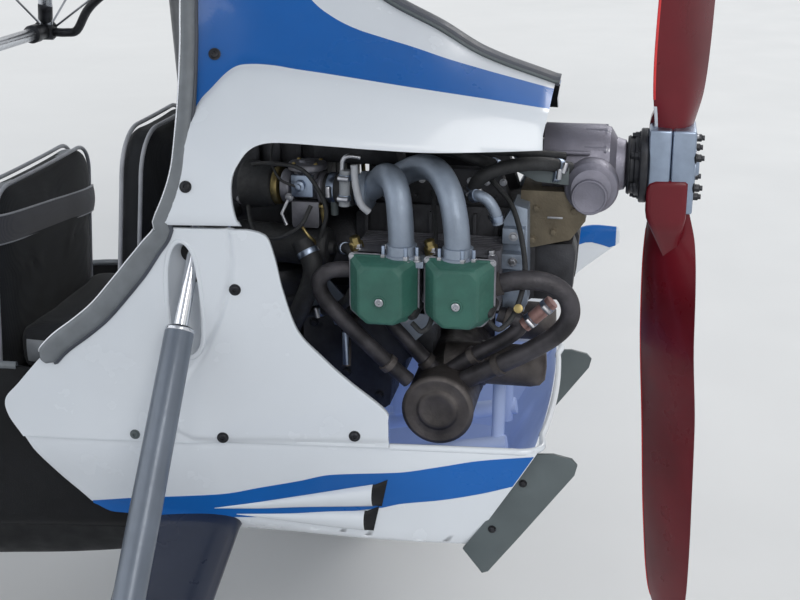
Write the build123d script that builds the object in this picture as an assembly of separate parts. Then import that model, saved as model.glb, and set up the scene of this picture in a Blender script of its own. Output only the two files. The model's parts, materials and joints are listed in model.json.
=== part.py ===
"""Weight-shift microlight trike: two seats in a hollow pod, a flat-four engine and pusher propeller, and a flexwing.

Lengths are in millimetres. +X is forward, +Y is left and +Z is up, and the ground is z = 0.
Stations, written s, run forward from the propeller's hub, so a point's x is its s + HUB_X.
"""

import math
import os

from build123d import *

# Overall layout
HUB_X = -1000
HUB_Z = 1105
MAIN_AXLE_S = 760
NOSE_AXLE_S = 2450
HALF_TRACK = 850
BEAM_S = (668, 790)
BEAM_Z = (478, 525)
LEG_HOLE_GAP = 5
RUN = 0.05  # radial clearance of every running fit

# Wheels
TYRE_R = 200
TYRE_WIDTH = 100
TYRE_SHOULDER_R = 36
TYRE_WALL = 9
RIM_R = 105
RIM_WIDTH = 98
RIM_WALL = 5
WEB_THICK = 12
WEB_HOLES = 5
WEB_HOLE_R = 17
WEB_HOLE_AT = 67
HUB_R = 30
HUB_HALF = 55
MAIN_AXLE_R = 12
LEG_INSET = 108  # from the wheel's middle to the leg's end
NOSE_AXLE_R = 10

# Pod and rear body
WALL = 7
PANEL_WALL = 9
GLASS_WALL = 5
LIP = 4  # how far the nose fairing stands over the hull's rim
LIP_DEEP = 12
BODY_RIM_Z = 700
WAIST_Z = 1053

# Mast, strut and hang point
MAST_R = 30
MAST_FOOT = (745, 525)
MAST_TOP = (845, 2290)
ROLL_PIN = (845, 2360)
PITCH_BOLT_Z = 2450
HANG_PIN_R = 8
STRUT_R = 22
STRUT_FOOT = (2385, 620)

# Steering
RAKE = 18
STEER_GROUND_S = 2490
STEM_R = 16
HEAD_TUBE_R = 25
FORK_LEG_Y = 74
FORK_LEG_R = 14
MUDGUARD_R = 222
MUDGUARD_THICK = 4

# Propeller
PROP_R = 830
HUB_S = (-43, 30)
HUB_HALF_Y = 48
HUB_HALF_Z = 67
HUB_BOLT_CIRCLE = 48
FLANGE_R = 60

# Wing
HALF_SPAN = 5000
KEEL_Z = 2522
KEEL_R = 26
KEEL_BORE_R = 23
KEEL_NOSE_S = 2330
KEEL_TAIL_S = -750
SAIL_WALL = 4
BAR_S = 1385
BAR_Z = 1195
BAR_HALF = 745
BAR_R = 14
UPRIGHT_TOP_S = 985
UPRIGHT_R = 16
KINGPOST_S = 800
KINGPOST_TOP_Z = 3440
KINGPOST_R = 16
STAY_R = 2.5
STAY_SPAN = 2600
STAY_LUG = KEEL_R + 0.5  # how far from the keel's middle a stay meets it


def at(s, y, z):
    """The frame's point at station s."""
    return Vector(s + HUB_X, y, z)


def rod(start, end, radius):
    """A round bar from one point to another."""
    start, end = Vector(*start), Vector(*end)
    along = end - start
    plane = Plane(origin=start, z_dir=along.normalized())
    return extrude(plane * Circle(radius), amount=along.length)


def bent_tube(points, radius, bend):
    """A round tube along straight runs joined by arcs of one radius."""
    path = FilletPolyline(*points, radius=bend)
    return sweep(Plane(origin=path @ 0, z_dir=path % 0) * Circle(radius), path=path)


def block(s_range, y_range, z_range):
    """A box between two stations, two sides and two heights."""
    low = at(s_range[0], y_range[0], z_range[0])
    high = at(s_range[1], y_range[1], z_range[1])
    size = high - low
    return Pos(low.X, low.Y, low.Z) * Box(size.X, size.Y, size.Z, align=(Align.MIN,) * 3)


def side_prism(outline, y_low, y_high):
    """A prism through Y whose side view is a list of (station, height) points."""
    face = make_face(Polyline(*[at(s, y_low, z) for s, z in outline], close=True))
    return extrude(face, amount=y_high - y_low, dir=(0, 1, 0))


def across(s, z, radius, y_low, y_high):
    """A cylinder along Y."""
    return rod(at(s, y_low, z), at(s, y_high, z), radius)


def mirrored(shape):
    """The same piece on the right-hand side."""
    return mirror(shape, about=Plane.XZ)


def both(shape):
    """A piece and its mirror image, as two solids of one node."""
    return Compound(children=list(shape.solids()) + list(mirrored(shape).solids()))


def between_rows(rows, extra):
    """The same rows with more of them between, on smooth curves that pass through every given value."""
    out = []
    for i in range(len(rows) - 1):
        before, here, after = rows[max(i - 1, 0)], rows[i], rows[i + 1]
        beyond = rows[min(i + 2, len(rows) - 1)]
        for step in range(extra + 1):
            t = step / (extra + 1)
            row = []
            for p0, p1, p2, p3, s0, s1, s2, s3 in zip(before, here, after, beyond, *[[r[0]] * len(here) for r in
                                                                                     (before, here, after, beyond)]):
                rise = (p2 - p0) / (s2 - s0) * (s2 - s1)
                fall = (p3 - p1) / (s3 - s1) * (s2 - s1)
                row.append((1 + 2 * t) * (1 - t) ** 2 * p1 + t * (1 - t) ** 2 * rise
                           + t * t * (3 - 2 * t) * p2 + t * t * (t - 1) * fall)
            out.append(tuple(row))
    return out + [rows[-1]]


def body_loft(rows, inset):
    """A form through cross-sections, each a row (s, points) with points (y, z) from the belly to the ridge.

    The inset moves every section's sides, belly and top inwards, for the inside of a wall.
    """
    sections = []
    for s, half in rows:
        belly, ridge = half[0][1], half[-1][1]
        moved = []
        for y, z in half:
            z = z + inset if z == belly else z
            z = z - inset * 1.5 if z == ridge else z
            moved.append((max(y - inset, 1.5), z))
        ring = moved + [(-y, z) for y, z in reversed(moved)]
        sections.append(make_face(Polyline(*[at(s, y, z) for y, z in ring], close=True)))
    return loft(sections, ruled=True)


# Wheels

def tyre_section(tread_r, width, shoulder):
    ring = Pos((RIM_R + tread_r) / 2, 0) * Rectangle(tread_r - RIM_R, width)
    return fillet(ring.vertices().sort_by(Axis.X)[-2:], shoulder)


def tyre():
    """A hollow tyre, open towards the rim between its two beads."""
    outer = tyre_section(TYRE_R, TYRE_WIDTH, TYRE_SHOULDER_R)
    inner = tyre_section(TYRE_R - TYRE_WALL, TYRE_WIDTH - 2 * TYRE_WALL, TYRE_SHOULDER_R - TYRE_WALL)
    return revolve(outer - inner, Axis.Y)


def rim(bore):
    """A cast rim about the Y axis: barrel, web with round holes, and hub."""
    barrel = Pos(RIM_R - RIM_WALL / 2, 0) * Rectangle(RIM_WALL, RIM_WIDTH)
    web = Pos((HUB_R + RIM_R - RIM_WALL) / 2, 0) * Rectangle(RIM_R - RIM_WALL - HUB_R, WEB_THICK)
    hub = Pos((HUB_R + bore) / 2, 0) * Rectangle(HUB_R - bore, 2 * HUB_HALF)
    body = revolve(barrel + web + hub, Axis.Y)
    for i in range(WEB_HOLES):
        turn = math.radians(360 * i / WEB_HOLES + 90)
        centre = (WEB_HOLE_AT * math.cos(turn), WEB_HOLE_AT * math.sin(turn))
        body -= rod((centre[0], -WEB_THICK, centre[1]), (centre[0], WEB_THICK, centre[1]), WEB_HOLE_R)
    return body


def wheel_nodes(name, s, y, bore):
    place = Pos(s + HUB_X, y, TYRE_R)
    nodes[name + "_tyre"] = place * tyre()
    nodes[name + "_rim"] = place * rim(bore)


# Rear body: station, then (half-width, height) from the belly to the ridge

BODY_ROWS = [
    (150, [(150, 500), (215, 520), (252, BODY_RIM_Z), (205, WAIST_Z), (160, 1159), (140, 1208), (60, 1228), (9, 1232)]),
    (400, [(175, 500), (250, 530), (272, BODY_RIM_Z), (262, WAIST_Z), (222, 1162), (182, 1252), (85, 1302), (9, 1334)]),
    (620, [(190, 500), (275, 556), (295, BODY_RIM_Z), (299, WAIST_Z), (270, 1162), (205, 1282), (92, 1400), (9, 1480)]),
    (735, [(200, 500), (285, 566), (312, BODY_RIM_Z), (312, WAIST_Z), (283, 1170), (218, 1340), (75, 1700), (9, 1900)]),
    (1040, [(220, 500), (300, 580), (335, BODY_RIM_Z), (335, WAIST_Z), (310, 1175), (250, 1345), (105, 1705), (9, 1905)]),
]

# Side views of the panels, as (station, height)
TUB_OUTLINE = [(174, 690), (285, 490), (859, 490), (859, 588), (953, BODY_RIM_Z), (174, BODY_RIM_Z)]
TUB_REAR_WALL = [(174, BODY_RIM_Z), (285, 490), (297, 490), (186, BODY_RIM_Z)]
PANEL_OUTLINE = [
    (404, BODY_RIM_Z), (404, 745), (409, 766), (464, 812), (502, 848), (540, 892), (561, 956), (570, 1000),
    (580, 1036), (612, WAIST_Z), (748, WAIST_Z), (764, 1030), (790, 994), (818, 960), (858, 914), (905, 876),
    (945, 838), (985, 793), (1008, 766), (1006, 738), (985, BODY_RIM_Z),
]
STRUT_SLOT = [
    (688, 868), (686, 950), (692, 1000), (703, 1024), (718, 1030), (731, 1018), (739, 985), (740, 935),
    (735, 880), (722, 854), (706, 848),
]
COWL_OUTLINE = [
    (182, 1159), (400, 1164), (585, 1166), (618, 1152), (632, 1131), (639, 1104), (632, WAIST_Z), (748, WAIST_Z),
    (730, 1088), (719, 1125), (713, 1180), (712, 1240), (712, 1905), (560, 1905), (182, 1300),
]

# Pod: station, half-widths and heights of the black lower hull
HULL_ROWS = [
    # station, belly half-width, belly z, chine half-width, chine z, rim half-width, rim z
    (722, 165, 440, 248, 520, 262, 690),
    (1030, 200, 410, 266, 510, 288, 800),
    (1400, 215, 390, 300, 490, 325, 735),
    (1950, 190, 400, 285, 490, 312, 690),
    (2300, 120, 474, 200, 540, 228, 660),
    (2690, 20, 560, 45, 575, 55, 636),
]

# Pod: station, half-widths and heights of the nose fairing and screen
NOSE_ROWS = [
    # station, rim half-width, rim z, shoulder half-width, shoulder z, top half-width, top z
    (1420, 329, 738, 300, 1000, 130, 1190),
    (1950, 316, 693, 268, 985, 120, 1190),
    (2150, 276, 678, 222, 890, 95, 1040),
    (2350, 219, 660, 170, 790, 70, 850),
    (2600, 98, 644, 72, 700, 30, 722),
    (2750, 20, 630, 14, 645, 6, 650),
]


def hull_form(inset):
    sections = []
    for s, belly_y, belly_z, chine_y, chine_z, rim_y, rim_z in between_rows(HULL_ROWS, 1):
        half = [(belly_y, belly_z + inset), (chine_y - inset, chine_z + inset / 2), (rim_y - inset, rim_z)]
        if inset:
            half.append((rim_y - inset, rim_z + 400))
        ring = half + [(-y, z) for y, z in reversed(half)]
        sections.append(make_face(Polyline(*[at(s, y, z) for y, z in ring], close=True)))
    return loft(sections, ruled=True)


def nose_form(inset):
    sections = []
    for s, rim_y, rim_z, shoulder_y, shoulder_z, top_y, top_z in between_rows(NOSE_ROWS, 1):
        half = [
            (rim_y + LIP - inset, rim_z - LIP_DEEP - inset),
            (shoulder_y - inset, shoulder_z - inset * 0.6),
            (top_y - inset / 3, top_z - inset),
        ]
        ring = half + [(-y, z) for y, z in reversed(half)]
        sections.append(make_face(Polyline(*[at(s, y, z) for y, z in ring], close=True)))
    return loft(sections, ruled=True)


def beam_form():
    """The frame's cross beam, which carries the mast, the legs and the tub's floor."""
    return block(BEAM_S, (-150, 150), BEAM_Z)


def body_nodes():
    outer = body_loft(BODY_ROWS, 0)
    shell = outer - body_loft(BODY_ROWS, PANEL_WALL)
    tub = shell & side_prism(TUB_OUTLINE, -400, 400)
    tub += side_prism(TUB_REAR_WALL, -400, 400) & outer
    tub -= block((690, 1100), (-400, 400), (400, 574))
    tub -= block((690, 1100), (-290, 290), (560, 760))
    tub -= beam_form()
    for side in (1, -1):
        tub -= leg_form(side, LEG_HOLE_GAP)
    nodes["rear_tub"] = tub
    panel = shell & side_prism(PANEL_OUTLINE, 150, 400)
    panel -= side_prism(STRUT_SLOT, 100, 400)
    nodes["side_panel_left"] = panel
    nodes["side_panel_right"] = mirrored(panel)
    nodes["upper_fairing"] = shell & side_prism(COWL_OUTLINE, -400, 400)


def pod_nodes():
    hull = hull_form(0) - hull_form(WALL)
    hull -= rod(steer(380), steer(620), HEAD_TUBE_R + 12)
    for side in (1, -1):
        hull -= leg_form(side, LEG_HOLE_GAP)
    hull -= beam_form()
    nodes["under_hull"] = hull
    outer = nose_form(0) - hull_form(0)
    cockpit = [(1300, 650), (1430, 741), (1700, 800), (1880, 1010), (2030, 1400), (1300, 1400)]
    shell = outer - nose_form(WALL)
    screen_zone = side_prism([(2335, 862), (1790, 862), (1880, 1010), (1990, 1400), (2335, 1400)], -400, 400)
    front = shell - side_prism(cockpit, -400, 400)
    nodes["nose_fairing"] = front - screen_zone
    pane = (outer - nose_form(GLASS_WALL)) - side_prism(cockpit, -400, 400)
    nodes["windscreen"] = pane & screen_zone


def steer(z):
    """The steering axis at a height."""
    return at(STEER_GROUND_S - z * math.tan(math.radians(RAKE)), 0, z)


# Frame, mast and hang point

def frame_nodes():
    rail = side_prism([(700, 470), (700, 520), (2290, 545), (2300, 505), (2150, 470)], -25, 25)
    head = rod(steer(478), steer(566), HEAD_TUBE_R)
    lug = side_prism([(2300, 545), (2400, 600), (2400, 640), (2370, 640), (2290, 560)], -14, 14)
    rails = [rod(at(238, y, 636), at(740, y, 532), 15) for y in (-84, 84)]
    frame = rail + head + lug + beam_form()
    for piece in rails:
        frame += piece
    frame -= rod(steer(400), steer(700), STEM_R + RUN)
    feet = block((1000, 1060), (-60, 60), (380, 480)) + block((1900, 1960), (-60, 60), (380, 480))
    frame += feet & hull_form(WALL)
    nodes["frame"] = frame
    foot = at(MAST_FOOT[0], 0, MAST_FOOT[1])
    top = at(MAST_TOP[0], 0, MAST_TOP[1])
    nodes["mast"] = rod(foot + Vector(0, 0, -12), top + Vector(0, 0, 12), MAST_R) - frame


def hang_nodes():
    s, z = ROLL_PIN
    lug = rod(at(s - 26, 0, z), at(s + 26, 0, z), 24)
    neck = block((s - 26, s + 26), (-24, 24), (MAST_TOP[1], z))
    cap = rod(at(s - 4, 0, MAST_TOP[1]), at(s - 4, 0, MAST_TOP[1] + 16), 40)
    tongue = block((s + 20, s + 62), (-10, 10), (MAST_TOP[1], MAST_TOP[1] + 32))
    head = lug + neck + cap + tongue
    head -= rod(at(s - 40, 0, z), at(s + 40, 0, z), HANG_PIN_R + RUN)
    nodes["mast_head"] = head
    strut_top = at(s + 62, 0, MAST_TOP[1] + 16)
    strut_foot = at(STRUT_FOOT[0], 0, STRUT_FOOT[1] + 20)
    strut = rod(strut_foot, strut_top, STRUT_R)
    nodes["front_strut"] = strut - nodes["mast_head"] - nodes["frame"]
    nodes["mast"] = nodes["mast"] - nodes["mast_head"]
    ears = block((s + 29, s + 38), (-20, 20), (z - 18, z + 42)) + block((s - 38, s - 29), (-20, 20), (z - 18, z + 42))
    ears += block((s - 38, s + 38), (-20, 20), (z + 31, z + 42))
    ears += rod(at(s - 38, 0, z), at(s + 38, 0, z), HANG_PIN_R)
    ears += block((s - 20, s + 20), (-18, 18), (z + 40, PITCH_BOLT_Z))
    ears += across(s, PITCH_BOLT_Z, 20, -18, 18)
    ears -= across(s, PITCH_BOLT_Z, HANG_PIN_R + RUN, -30, 30)
    nodes["hang_block"] = ears
    bracket = block((s - 32, s + 32), (-34, 34), (PITCH_BOLT_Z - 22, KEEL_Z + 6))
    bracket -= block((s - 40, s + 40), (-20, 20), (PITCH_BOLT_Z - 40, PITCH_BOLT_Z + 28))
    bracket += across(s, PITCH_BOLT_Z, HANG_PIN_R, -40, 40)
    bracket += block((UPRIGHT_TOP_S - 28, UPRIGHT_TOP_S + 28), (-40, 40), (KEEL_Z - 62, KEEL_Z + 6))
    bracket -= rod(at(s - 100, 0, KEEL_Z), at(s + 300, 0, KEEL_Z), KEEL_R)
    nodes["hang_bracket"] = bracket


# Undercarriage

LEG_ROWS = [
    # distance from the middle, station, height, chord, thickness
    (130, 742, 545, 185, 40),
    (280, 742, 545, 185, 40),
    (HALF_TRACK - LEG_INSET, MAIN_AXLE_S, 232, 105, 34),
]


def leg_form(side, grow):
    """A blade leg from the frame's cross beam to the axle, wider by grow all round."""
    sections = []
    for y, s, z, chord, thick in LEG_ROWS:
        plane = Plane(origin=at(s, side * y, z), x_dir=(1, 0, 0), z_dir=(0, 1, 0))
        sections.append(plane * SlotOverall(chord + 2 * grow, thick + 2 * grow))
    return loft(sections, ruled=True)


SPAT_WALL = 6
SPAT_ROWS = [
    # station, middle height, half-width, half-height
    (1070, 265, 22, 34),
    (965, 262, 64, 122),
    (MAIN_AXLE_S, 282, 80, 172),
    (535, 378, 62, 126),
    (300, 575, 34, 66),
    (80, 752, 8, 16),
]


def spat():
    sections, inside = [], []
    for s, z, half_y, half_z in SPAT_ROWS:
        plane = Plane(origin=at(s, HALF_TRACK, z), x_dir=(0, 1, 0), z_dir=(1, 0, 0))
        corner = min(half_y, half_z) * 0.8
        sections.append(plane * RectangleRounded(2 * half_y, 2 * half_z, corner))
        inside.append(plane * RectangleRounded(
            max(2 * half_y - 2 * SPAT_WALL, 4), max(2 * half_z - 2 * SPAT_WALL, 8), max(corner - SPAT_WALL, 1)))
    body = loft(sections, ruled=True) - loft(inside[1:-1], ruled=True)
    well = across(MAIN_AXLE_S, TYRE_R, TYRE_R + 14, HALF_TRACK - 62, HALF_TRACK + 62)
    well += block((MAIN_AXLE_S - 205, MAIN_AXLE_S + 205), (HALF_TRACK - 62, HALF_TRACK + 62), (0, TYRE_R))
    body -= well
    body -= across(MAIN_AXLE_S, TYRE_R, 22, HALF_TRACK - 100, HALF_TRACK - 50)
    return body


def undercarriage_nodes():
    legs = [leg_form(side, 0) for side in (1, -1)]
    boss = across(MAIN_AXLE_S, TYRE_R, 45, HALF_TRACK - LEG_INSET - 7, HALF_TRACK - 80)
    left = legs[0] + boss
    nodes["leg_blades"] = both(left - across(MAIN_AXLE_S, TYRE_R, MAIN_AXLE_R, HALF_TRACK - 150, HALF_TRACK + 50))
    pin = across(MAIN_AXLE_S, TYRE_R, MAIN_AXLE_R, HALF_TRACK - 110, HALF_TRACK + 60)
    collar = across(MAIN_AXLE_S, TYRE_R, 22, HALF_TRACK - 80, HALF_TRACK - HUB_HALF - 2)
    nut = across(MAIN_AXLE_S, TYRE_R, 20, HALF_TRACK + HUB_HALF + 1, HALF_TRACK + HUB_HALF + 7)
    nodes["axles"] = both(pin + collar + nut)
    nodes["spats"] = both(spat())
    top = at(705, 262, 1022)
    collar_at = at(718, 372, 895)
    low = at(MAIN_AXLE_S - 14, HALF_TRACK - LEG_INSET - 4, 302)
    nodes["strut_rods"] = both(rod(top, collar_at, 11) + rod(top + Vector(0, 0, -14), top + Vector(0, 0, 14), 20))
    cylinder = rod(collar_at, low, 26) + rod(low, at(MAIN_AXLE_S - 10, HALF_TRACK - LEG_INSET + 4, 280), 16)
    nodes["strut_cylinders"] = both(cylinder - left)
    nodes["strut_rods"] = both(nodes["strut_rods"].solids()[0] - cylinder)
    beam = rod(at(705, -250, 1022), at(705, 250, 1022), 17) + block((705, 760), (-24, 24), (1000, 1044))
    nodes["strut_beam"] = beam - nodes["mast"] - nodes["strut_rods"]


def steering_nodes():
    crown_z = 458
    crown = steer(crown_z)
    legs = [rod(at(crown.X - HUB_X, y, crown_z), at(NOSE_AXLE_S, y, TYRE_R), FORK_LEG_R)
            for y in (FORK_LEG_Y, -FORK_LEG_Y)]
    stem = rod(steer(445), steer(660), STEM_R)
    bridge = rod(crown + Vector(0, -FORK_LEG_Y, 0), crown + Vector(0, FORK_LEG_Y, 0), 18)
    lug = rod(at(NOSE_AXLE_S, 0, TYRE_R), crown, 14)
    lug -= across(NOSE_AXLE_S, TYRE_R, MUDGUARD_R, -200, 200)
    fork = legs[0] + legs[1] + stem + bridge + lug
    fork += across(NOSE_AXLE_S, TYRE_R, NOSE_AXLE_R, -FORK_LEG_Y - 20, FORK_LEG_Y + 20)
    for y in (-FORK_LEG_Y, FORK_LEG_Y):
        fork += across(NOSE_AXLE_S, TYRE_R, 20, y - 13, y + 13)
    nodes["fork"] = fork
    ring = across(NOSE_AXLE_S, TYRE_R, MUDGUARD_R, -56, 56)
    ring -= across(NOSE_AXLE_S, TYRE_R, MUDGUARD_R - MUDGUARD_THICK, -60, 60)
    wedge = [(NOSE_AXLE_S, TYRE_R), (NOSE_AXLE_S + 400, TYRE_R + 120), (NOSE_AXLE_S + 200, 700),
             (NOSE_AXLE_S - 300, 700), (NOSE_AXLE_S - 400, TYRE_R + 60)]
    nodes["mudguard"] = ring & side_prism(wedge, -100, 100)
    bar_at = steer(625)
    bar = rod(bar_at + Vector(0, -170, 0), bar_at + Vector(0, 170, 0), 13)
    bar += rod(steer(600), steer(650), 27)
    for side in (1, -1):
        bar += rod(bar_at + Vector(0, side * 90, 0), bar_at + Vector(0, side * 185, 0), 18)
    bar -= rod(steer(560), steer(680), STEM_R)
    nodes["foot_bar"] = bar


# Seats

def cushion(s, y_half, z_low, z_high, thick, lean, corner):
    """A standing pad between two heights, leaning back by an angle, with its low front edge at station s."""
    tall = (z_high - z_low) / math.cos(math.radians(lean))
    pad = Box(thick, 2 * y_half, 2 * tall)
    pad = fillet(pad.edges().filter_by(Axis.X), corner)
    pad = Pos(s + HUB_X, 0, z_low) * Rot(0, -lean, 0) * pad
    return pad & block((s - 200, s + 200), (-y_half, y_half), (z_low, z_high + 50))


def seat_nodes():
    tunnel = block((600, 2400), (-27, 27), (440, 548))
    shell = block((842, 1075), (-165, 165), (380, 745)) + block((1070, 1520), (-175, 175), (380, 610))
    shell -= block((842 + WALL, 1075 - WALL), (-165 + WALL, 165 - WALL), (380, 745 - WALL))
    shell -= block((1066, 1520 - WALL), (-175 + WALL, 175 - WALL), (380, 610 - WALL))
    shell = (shell & hull_form(WALL)) - tunnel
    nodes["seat_shell"] = shell
    front = block((1140, 1530), (-190, 190), (610, 690))
    nodes["front_seat_base"] = fillet(front.edges().filter_by(Axis.Z), 40)
    rear = block((905, 1072), (-185, 185), (745, 828))
    nodes["rear_seat_base"] = fillet(rear.edges().filter_by(Axis.Z), 30)
    nodes["front_seat_back"] = cushion(1108, 215, 610, 1075, 48, 3, 60)
    nodes["rear_seat_back"] = cushion(879, 165, 745, 1172, 48, 5, 55)


# Engine

CYLINDERS = [
    # station, side
    (416, 1), (300, 1), (416, -1), (300, -1),
]
CASE_HALF = 92
CYL_Z = 956
FINS = 9
FIN_PITCH = 10
FIN_THICK = 4
HEAD_Y = 198
COVER_Y = 246
COVER_END = 288
COVER_OUTLINE = [
    # station from the cylinder's, height from the cylinder's
    (52, 43), (45, 50), (-45, 50), (-52, 43), (-52, -37), (-32, -55), (32, -55), (52, -37),
]

# One side's pipes: the corners of each middle line
INTAKE_R = 20
INTAKE_BEND = 42
INTAKE_RUNS = [
    [(462, 148, 1078), (430, 170, 1118), (396, 232, 1112), (391, 235, 1012)],
    [(440, 105, 1072), (392, 142, 1130), (312, 228, 1122), (305, 235, 1012)],
]
EXHAUST_RUNS = [
    # radius, bend, then the corners
    (12.5, 28, [(440, 226, 970), (540, 238, 982), (503, 233, 900), (388, 190, 782)]),
    (15, 45, [(262, 226, 962), (150, 224, 990), (102, 212, 905), (300, 166, 778)]),
]
MUFFLER_AT = (338, 741)
MUFFLER_R = 57
MUFFLER_HALF = 212
SILENCER_AT = (112, 790)
SILENCER_R = 34
SILENCER_TAIL_S = 173

GEARBOX_S = (96, 205)
GEARBOX_NOSE_S = 70
GEARBOX_NOSE_R = 40
DRUM_AT = (116, 1086)


def cylinder_nodes():
    barrels, covers = [], []
    for s, side in CYLINDERS:
        barrel = across(s, CYL_Z, 44, CASE_HALF, HEAD_Y)
        for i in range(FINS):
            y = CASE_HALF + 12 + i * FIN_PITCH
            barrel += block((s - 54, s + 54), (y, y + FIN_THICK), (CYL_Z - 48, CYL_Z + 48))
        head = block((s - 52, s + 52), (HEAD_Y, COVER_Y), (CYL_Z - 50, CYL_Z + 52))
        barrel += chamfer(head.edges().filter_by(Axis.Y), 10)
        cover = side_prism([(s + ds, CYL_Z + dz) for ds, dz in COVER_OUTLINE], COVER_Y, COVER_END)
        cover = chamfer(cover.faces().sort_by(Axis.Y)[-1].edges(), 9)
        barrels.append(barrel if side > 0 else mirrored(barrel))
        covers.append(cover if side > 0 else mirrored(cover))
    nodes["cylinders"] = Compound(children=[x for part in barrels for x in part.solids()])
    nodes["valve_covers"] = Compound(children=[x for part in covers for x in part.solids()])


def case_nodes():
    case = block((205, 485), (-CASE_HALF, CASE_HALF), (868, 1044))
    case = chamfer(case.edges().filter_by(Axis.X), 28)
    case += rod(at(480, 0, CYL_Z), at(548, 0, CYL_Z), 82)
    case += side_prism([(205, 1044), (205, 1078), (470, 1104), (485, 1044)], -60, 60)
    nodes["crankcase"] = case
    plane = Plane(origin=at(GEARBOX_S[0], 0, 0), x_dir=(0, 1, 0), z_dir=(1, 0, 0))
    outline = make_hull((Pos(0, 1118) * Circle(62)).edges() + (Pos(0, 1050) * Circle(66)).edges())
    gearbox = extrude(plane * outline, amount=GEARBOX_S[1] - GEARBOX_S[0])
    gearbox += rod(at(GEARBOX_NOSE_S, 0, HUB_Z), at(GEARBOX_S[0], 0, HUB_Z), GEARBOX_NOSE_R)
    gearbox += across(*DRUM_AT, 41, 30, 112) + across(DRUM_AT[0], DRUM_AT[1] - 8, 26, 112, 122)
    gearbox += side_prism([(128, 1060), (122, 1032), (145, 1000), (205, 985), (205, 1075), (155, 1078)], -92, 92)
    gearbox -= rod(at(40, 0, HUB_Z), at(130, 0, HUB_Z), 15 + RUN)
    nodes["gearbox"] = gearbox


def intake_nodes():
    pipes = None
    for run in INTAKE_RUNS:
        pipe = bent_tube([at(*corner) for corner in run], INTAKE_R, INTAKE_BEND)
        s, y, z = run[-1]
        pipe += block((s - 36, s + 36), (y - 22, y + 10), (z - 4, z + 6))
        pipes = pipe if pipes is None else pipes + pipe
    pipes += rod(at(470, 150, 1082), at(452, 152, 1084), 28)
    pipes -= nodes["cylinders"]
    nodes["intake_pipes"] = both(pipes)
    carb = rod(at(470, 150, 1082), at(546, 141, 1081), 25) + block((503, 545), (124, 168), (1014, 1064))
    carb += rod(at(510, 145, 1082), at(510, 145, 1126), 30)
    carb += rod(at(546, 141, 1081), at(606, 134, 1080), 38)
    carb -= pipes
    nodes["carburettors"] = both(carb)
    can = rod(at(522, 146, 984), at(690, 122, 984), 33)
    can = fillet(can.edges(), 10)
    nodes["breather_cans"] = both(can - carb)


def exhaust_nodes():
    s, z = MUFFLER_AT
    can = across(s, z, MUFFLER_R, -MUFFLER_HALF, MUFFLER_HALF)
    can = fillet(can.edges(), 12)
    for y in (SILENCER_AT[0], -SILENCER_AT[0]):
        can += rod(at(SILENCER_TAIL_S, y, SILENCER_AT[1]), at(s, y, SILENCER_AT[1]), SILENCER_R)
    nodes["muffler"] = can
    pipes = None
    for radius, bend, run in EXHAUST_RUNS:
        pipe = bent_tube([at(*corner) for corner in run], radius, bend)
        pipes = pipe if pipes is None else pipes + pipe
    nodes["exhaust_pipes"] = both(pipes - nodes["muffler"] - nodes["cylinders"])


def mount_nodes():
    posts = None
    for s in (254, 452):
        for side in (1, -1):
            post = rod(at(s, side * 80, 610), at(s, side * 48, 885), 11)
            posts = post if posts is None else posts + post
    posts = posts - nodes["crankcase"] - nodes["frame"]
    nodes["engine_mounts"] = Compound(children=[x for x in posts.solids() if x.center().Z > 700])
    tank = rod(at(628, 78, 790), at(628, 78, 938), 46)
    tank = fillet(tank.edges(), 12)
    tank += rod(at(628, 78, 932), at(628, 78, 948), 18) + rod(at(628, 78, 880), at(770, 0, 880), 8)
    nodes["oil_tank"] = tank - nodes["mast"]


# Propeller

BLADE_ROWS = [
    # radius from the hub's middle, chord, thickness, angle to the disc, how far its middle is aft of the hub's
    (36, 62, 46, 64, 6),
    (75, 76, 40, 60, 9),
    (120, 102, 30, 53, 12),
    (190, 122, 22, 46, 14),
    (290, 138, 18, 40, 17),
    (430, 150, 14, 37, 27),
    (600, 150, 11, 34, 35),
    (720, 142, 9, 32, 41),
    (790, 122, 7, 31, 44),
    (820, 88, 5, 30, 46),
    (PROP_R, 44, 4, 30, 47),
]


def blade():
    """The upper blade, on the hub's axis: each section is two arcs that meet at the edges."""
    sections = []
    for radius, chord, thick, angle, aft in BLADE_ROWS:
        turn = math.radians(angle)
        plane = Plane(origin=(-aft, 0, radius), x_dir=(math.sin(turn), math.cos(turn), 0), z_dir=(0, 0, 1))
        top = ThreePointArc((-chord / 2, 0), (chord * 0.1, thick * 0.62), (chord / 2, 0))
        low = ThreePointArc((chord / 2, 0), (chord * 0.1, -thick * 0.38), (-chord / 2, 0))
        sections.append(plane * make_face(top + low))
    return loft(sections, ruled=True)


def blade_cheek():
    """The round-ended root of the upper blade, let into the hub's far side."""
    middle = (HUB_S[0] + HUB_S[1]) / 2
    radius = 29
    cheek = rod((middle, -HUB_HALF_Y - 4, 40), (middle, -18, 40), radius)
    cheek += Pos(middle, -HUB_HALF_Y - 4, 40) * Box(2 * radius, HUB_HALF_Y - 14, 62, align=(Align.CENTER, Align.MIN, Align.MIN))
    return chamfer(cheek.faces().sort_by(Axis.Y)[0].edges(), 12)


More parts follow.
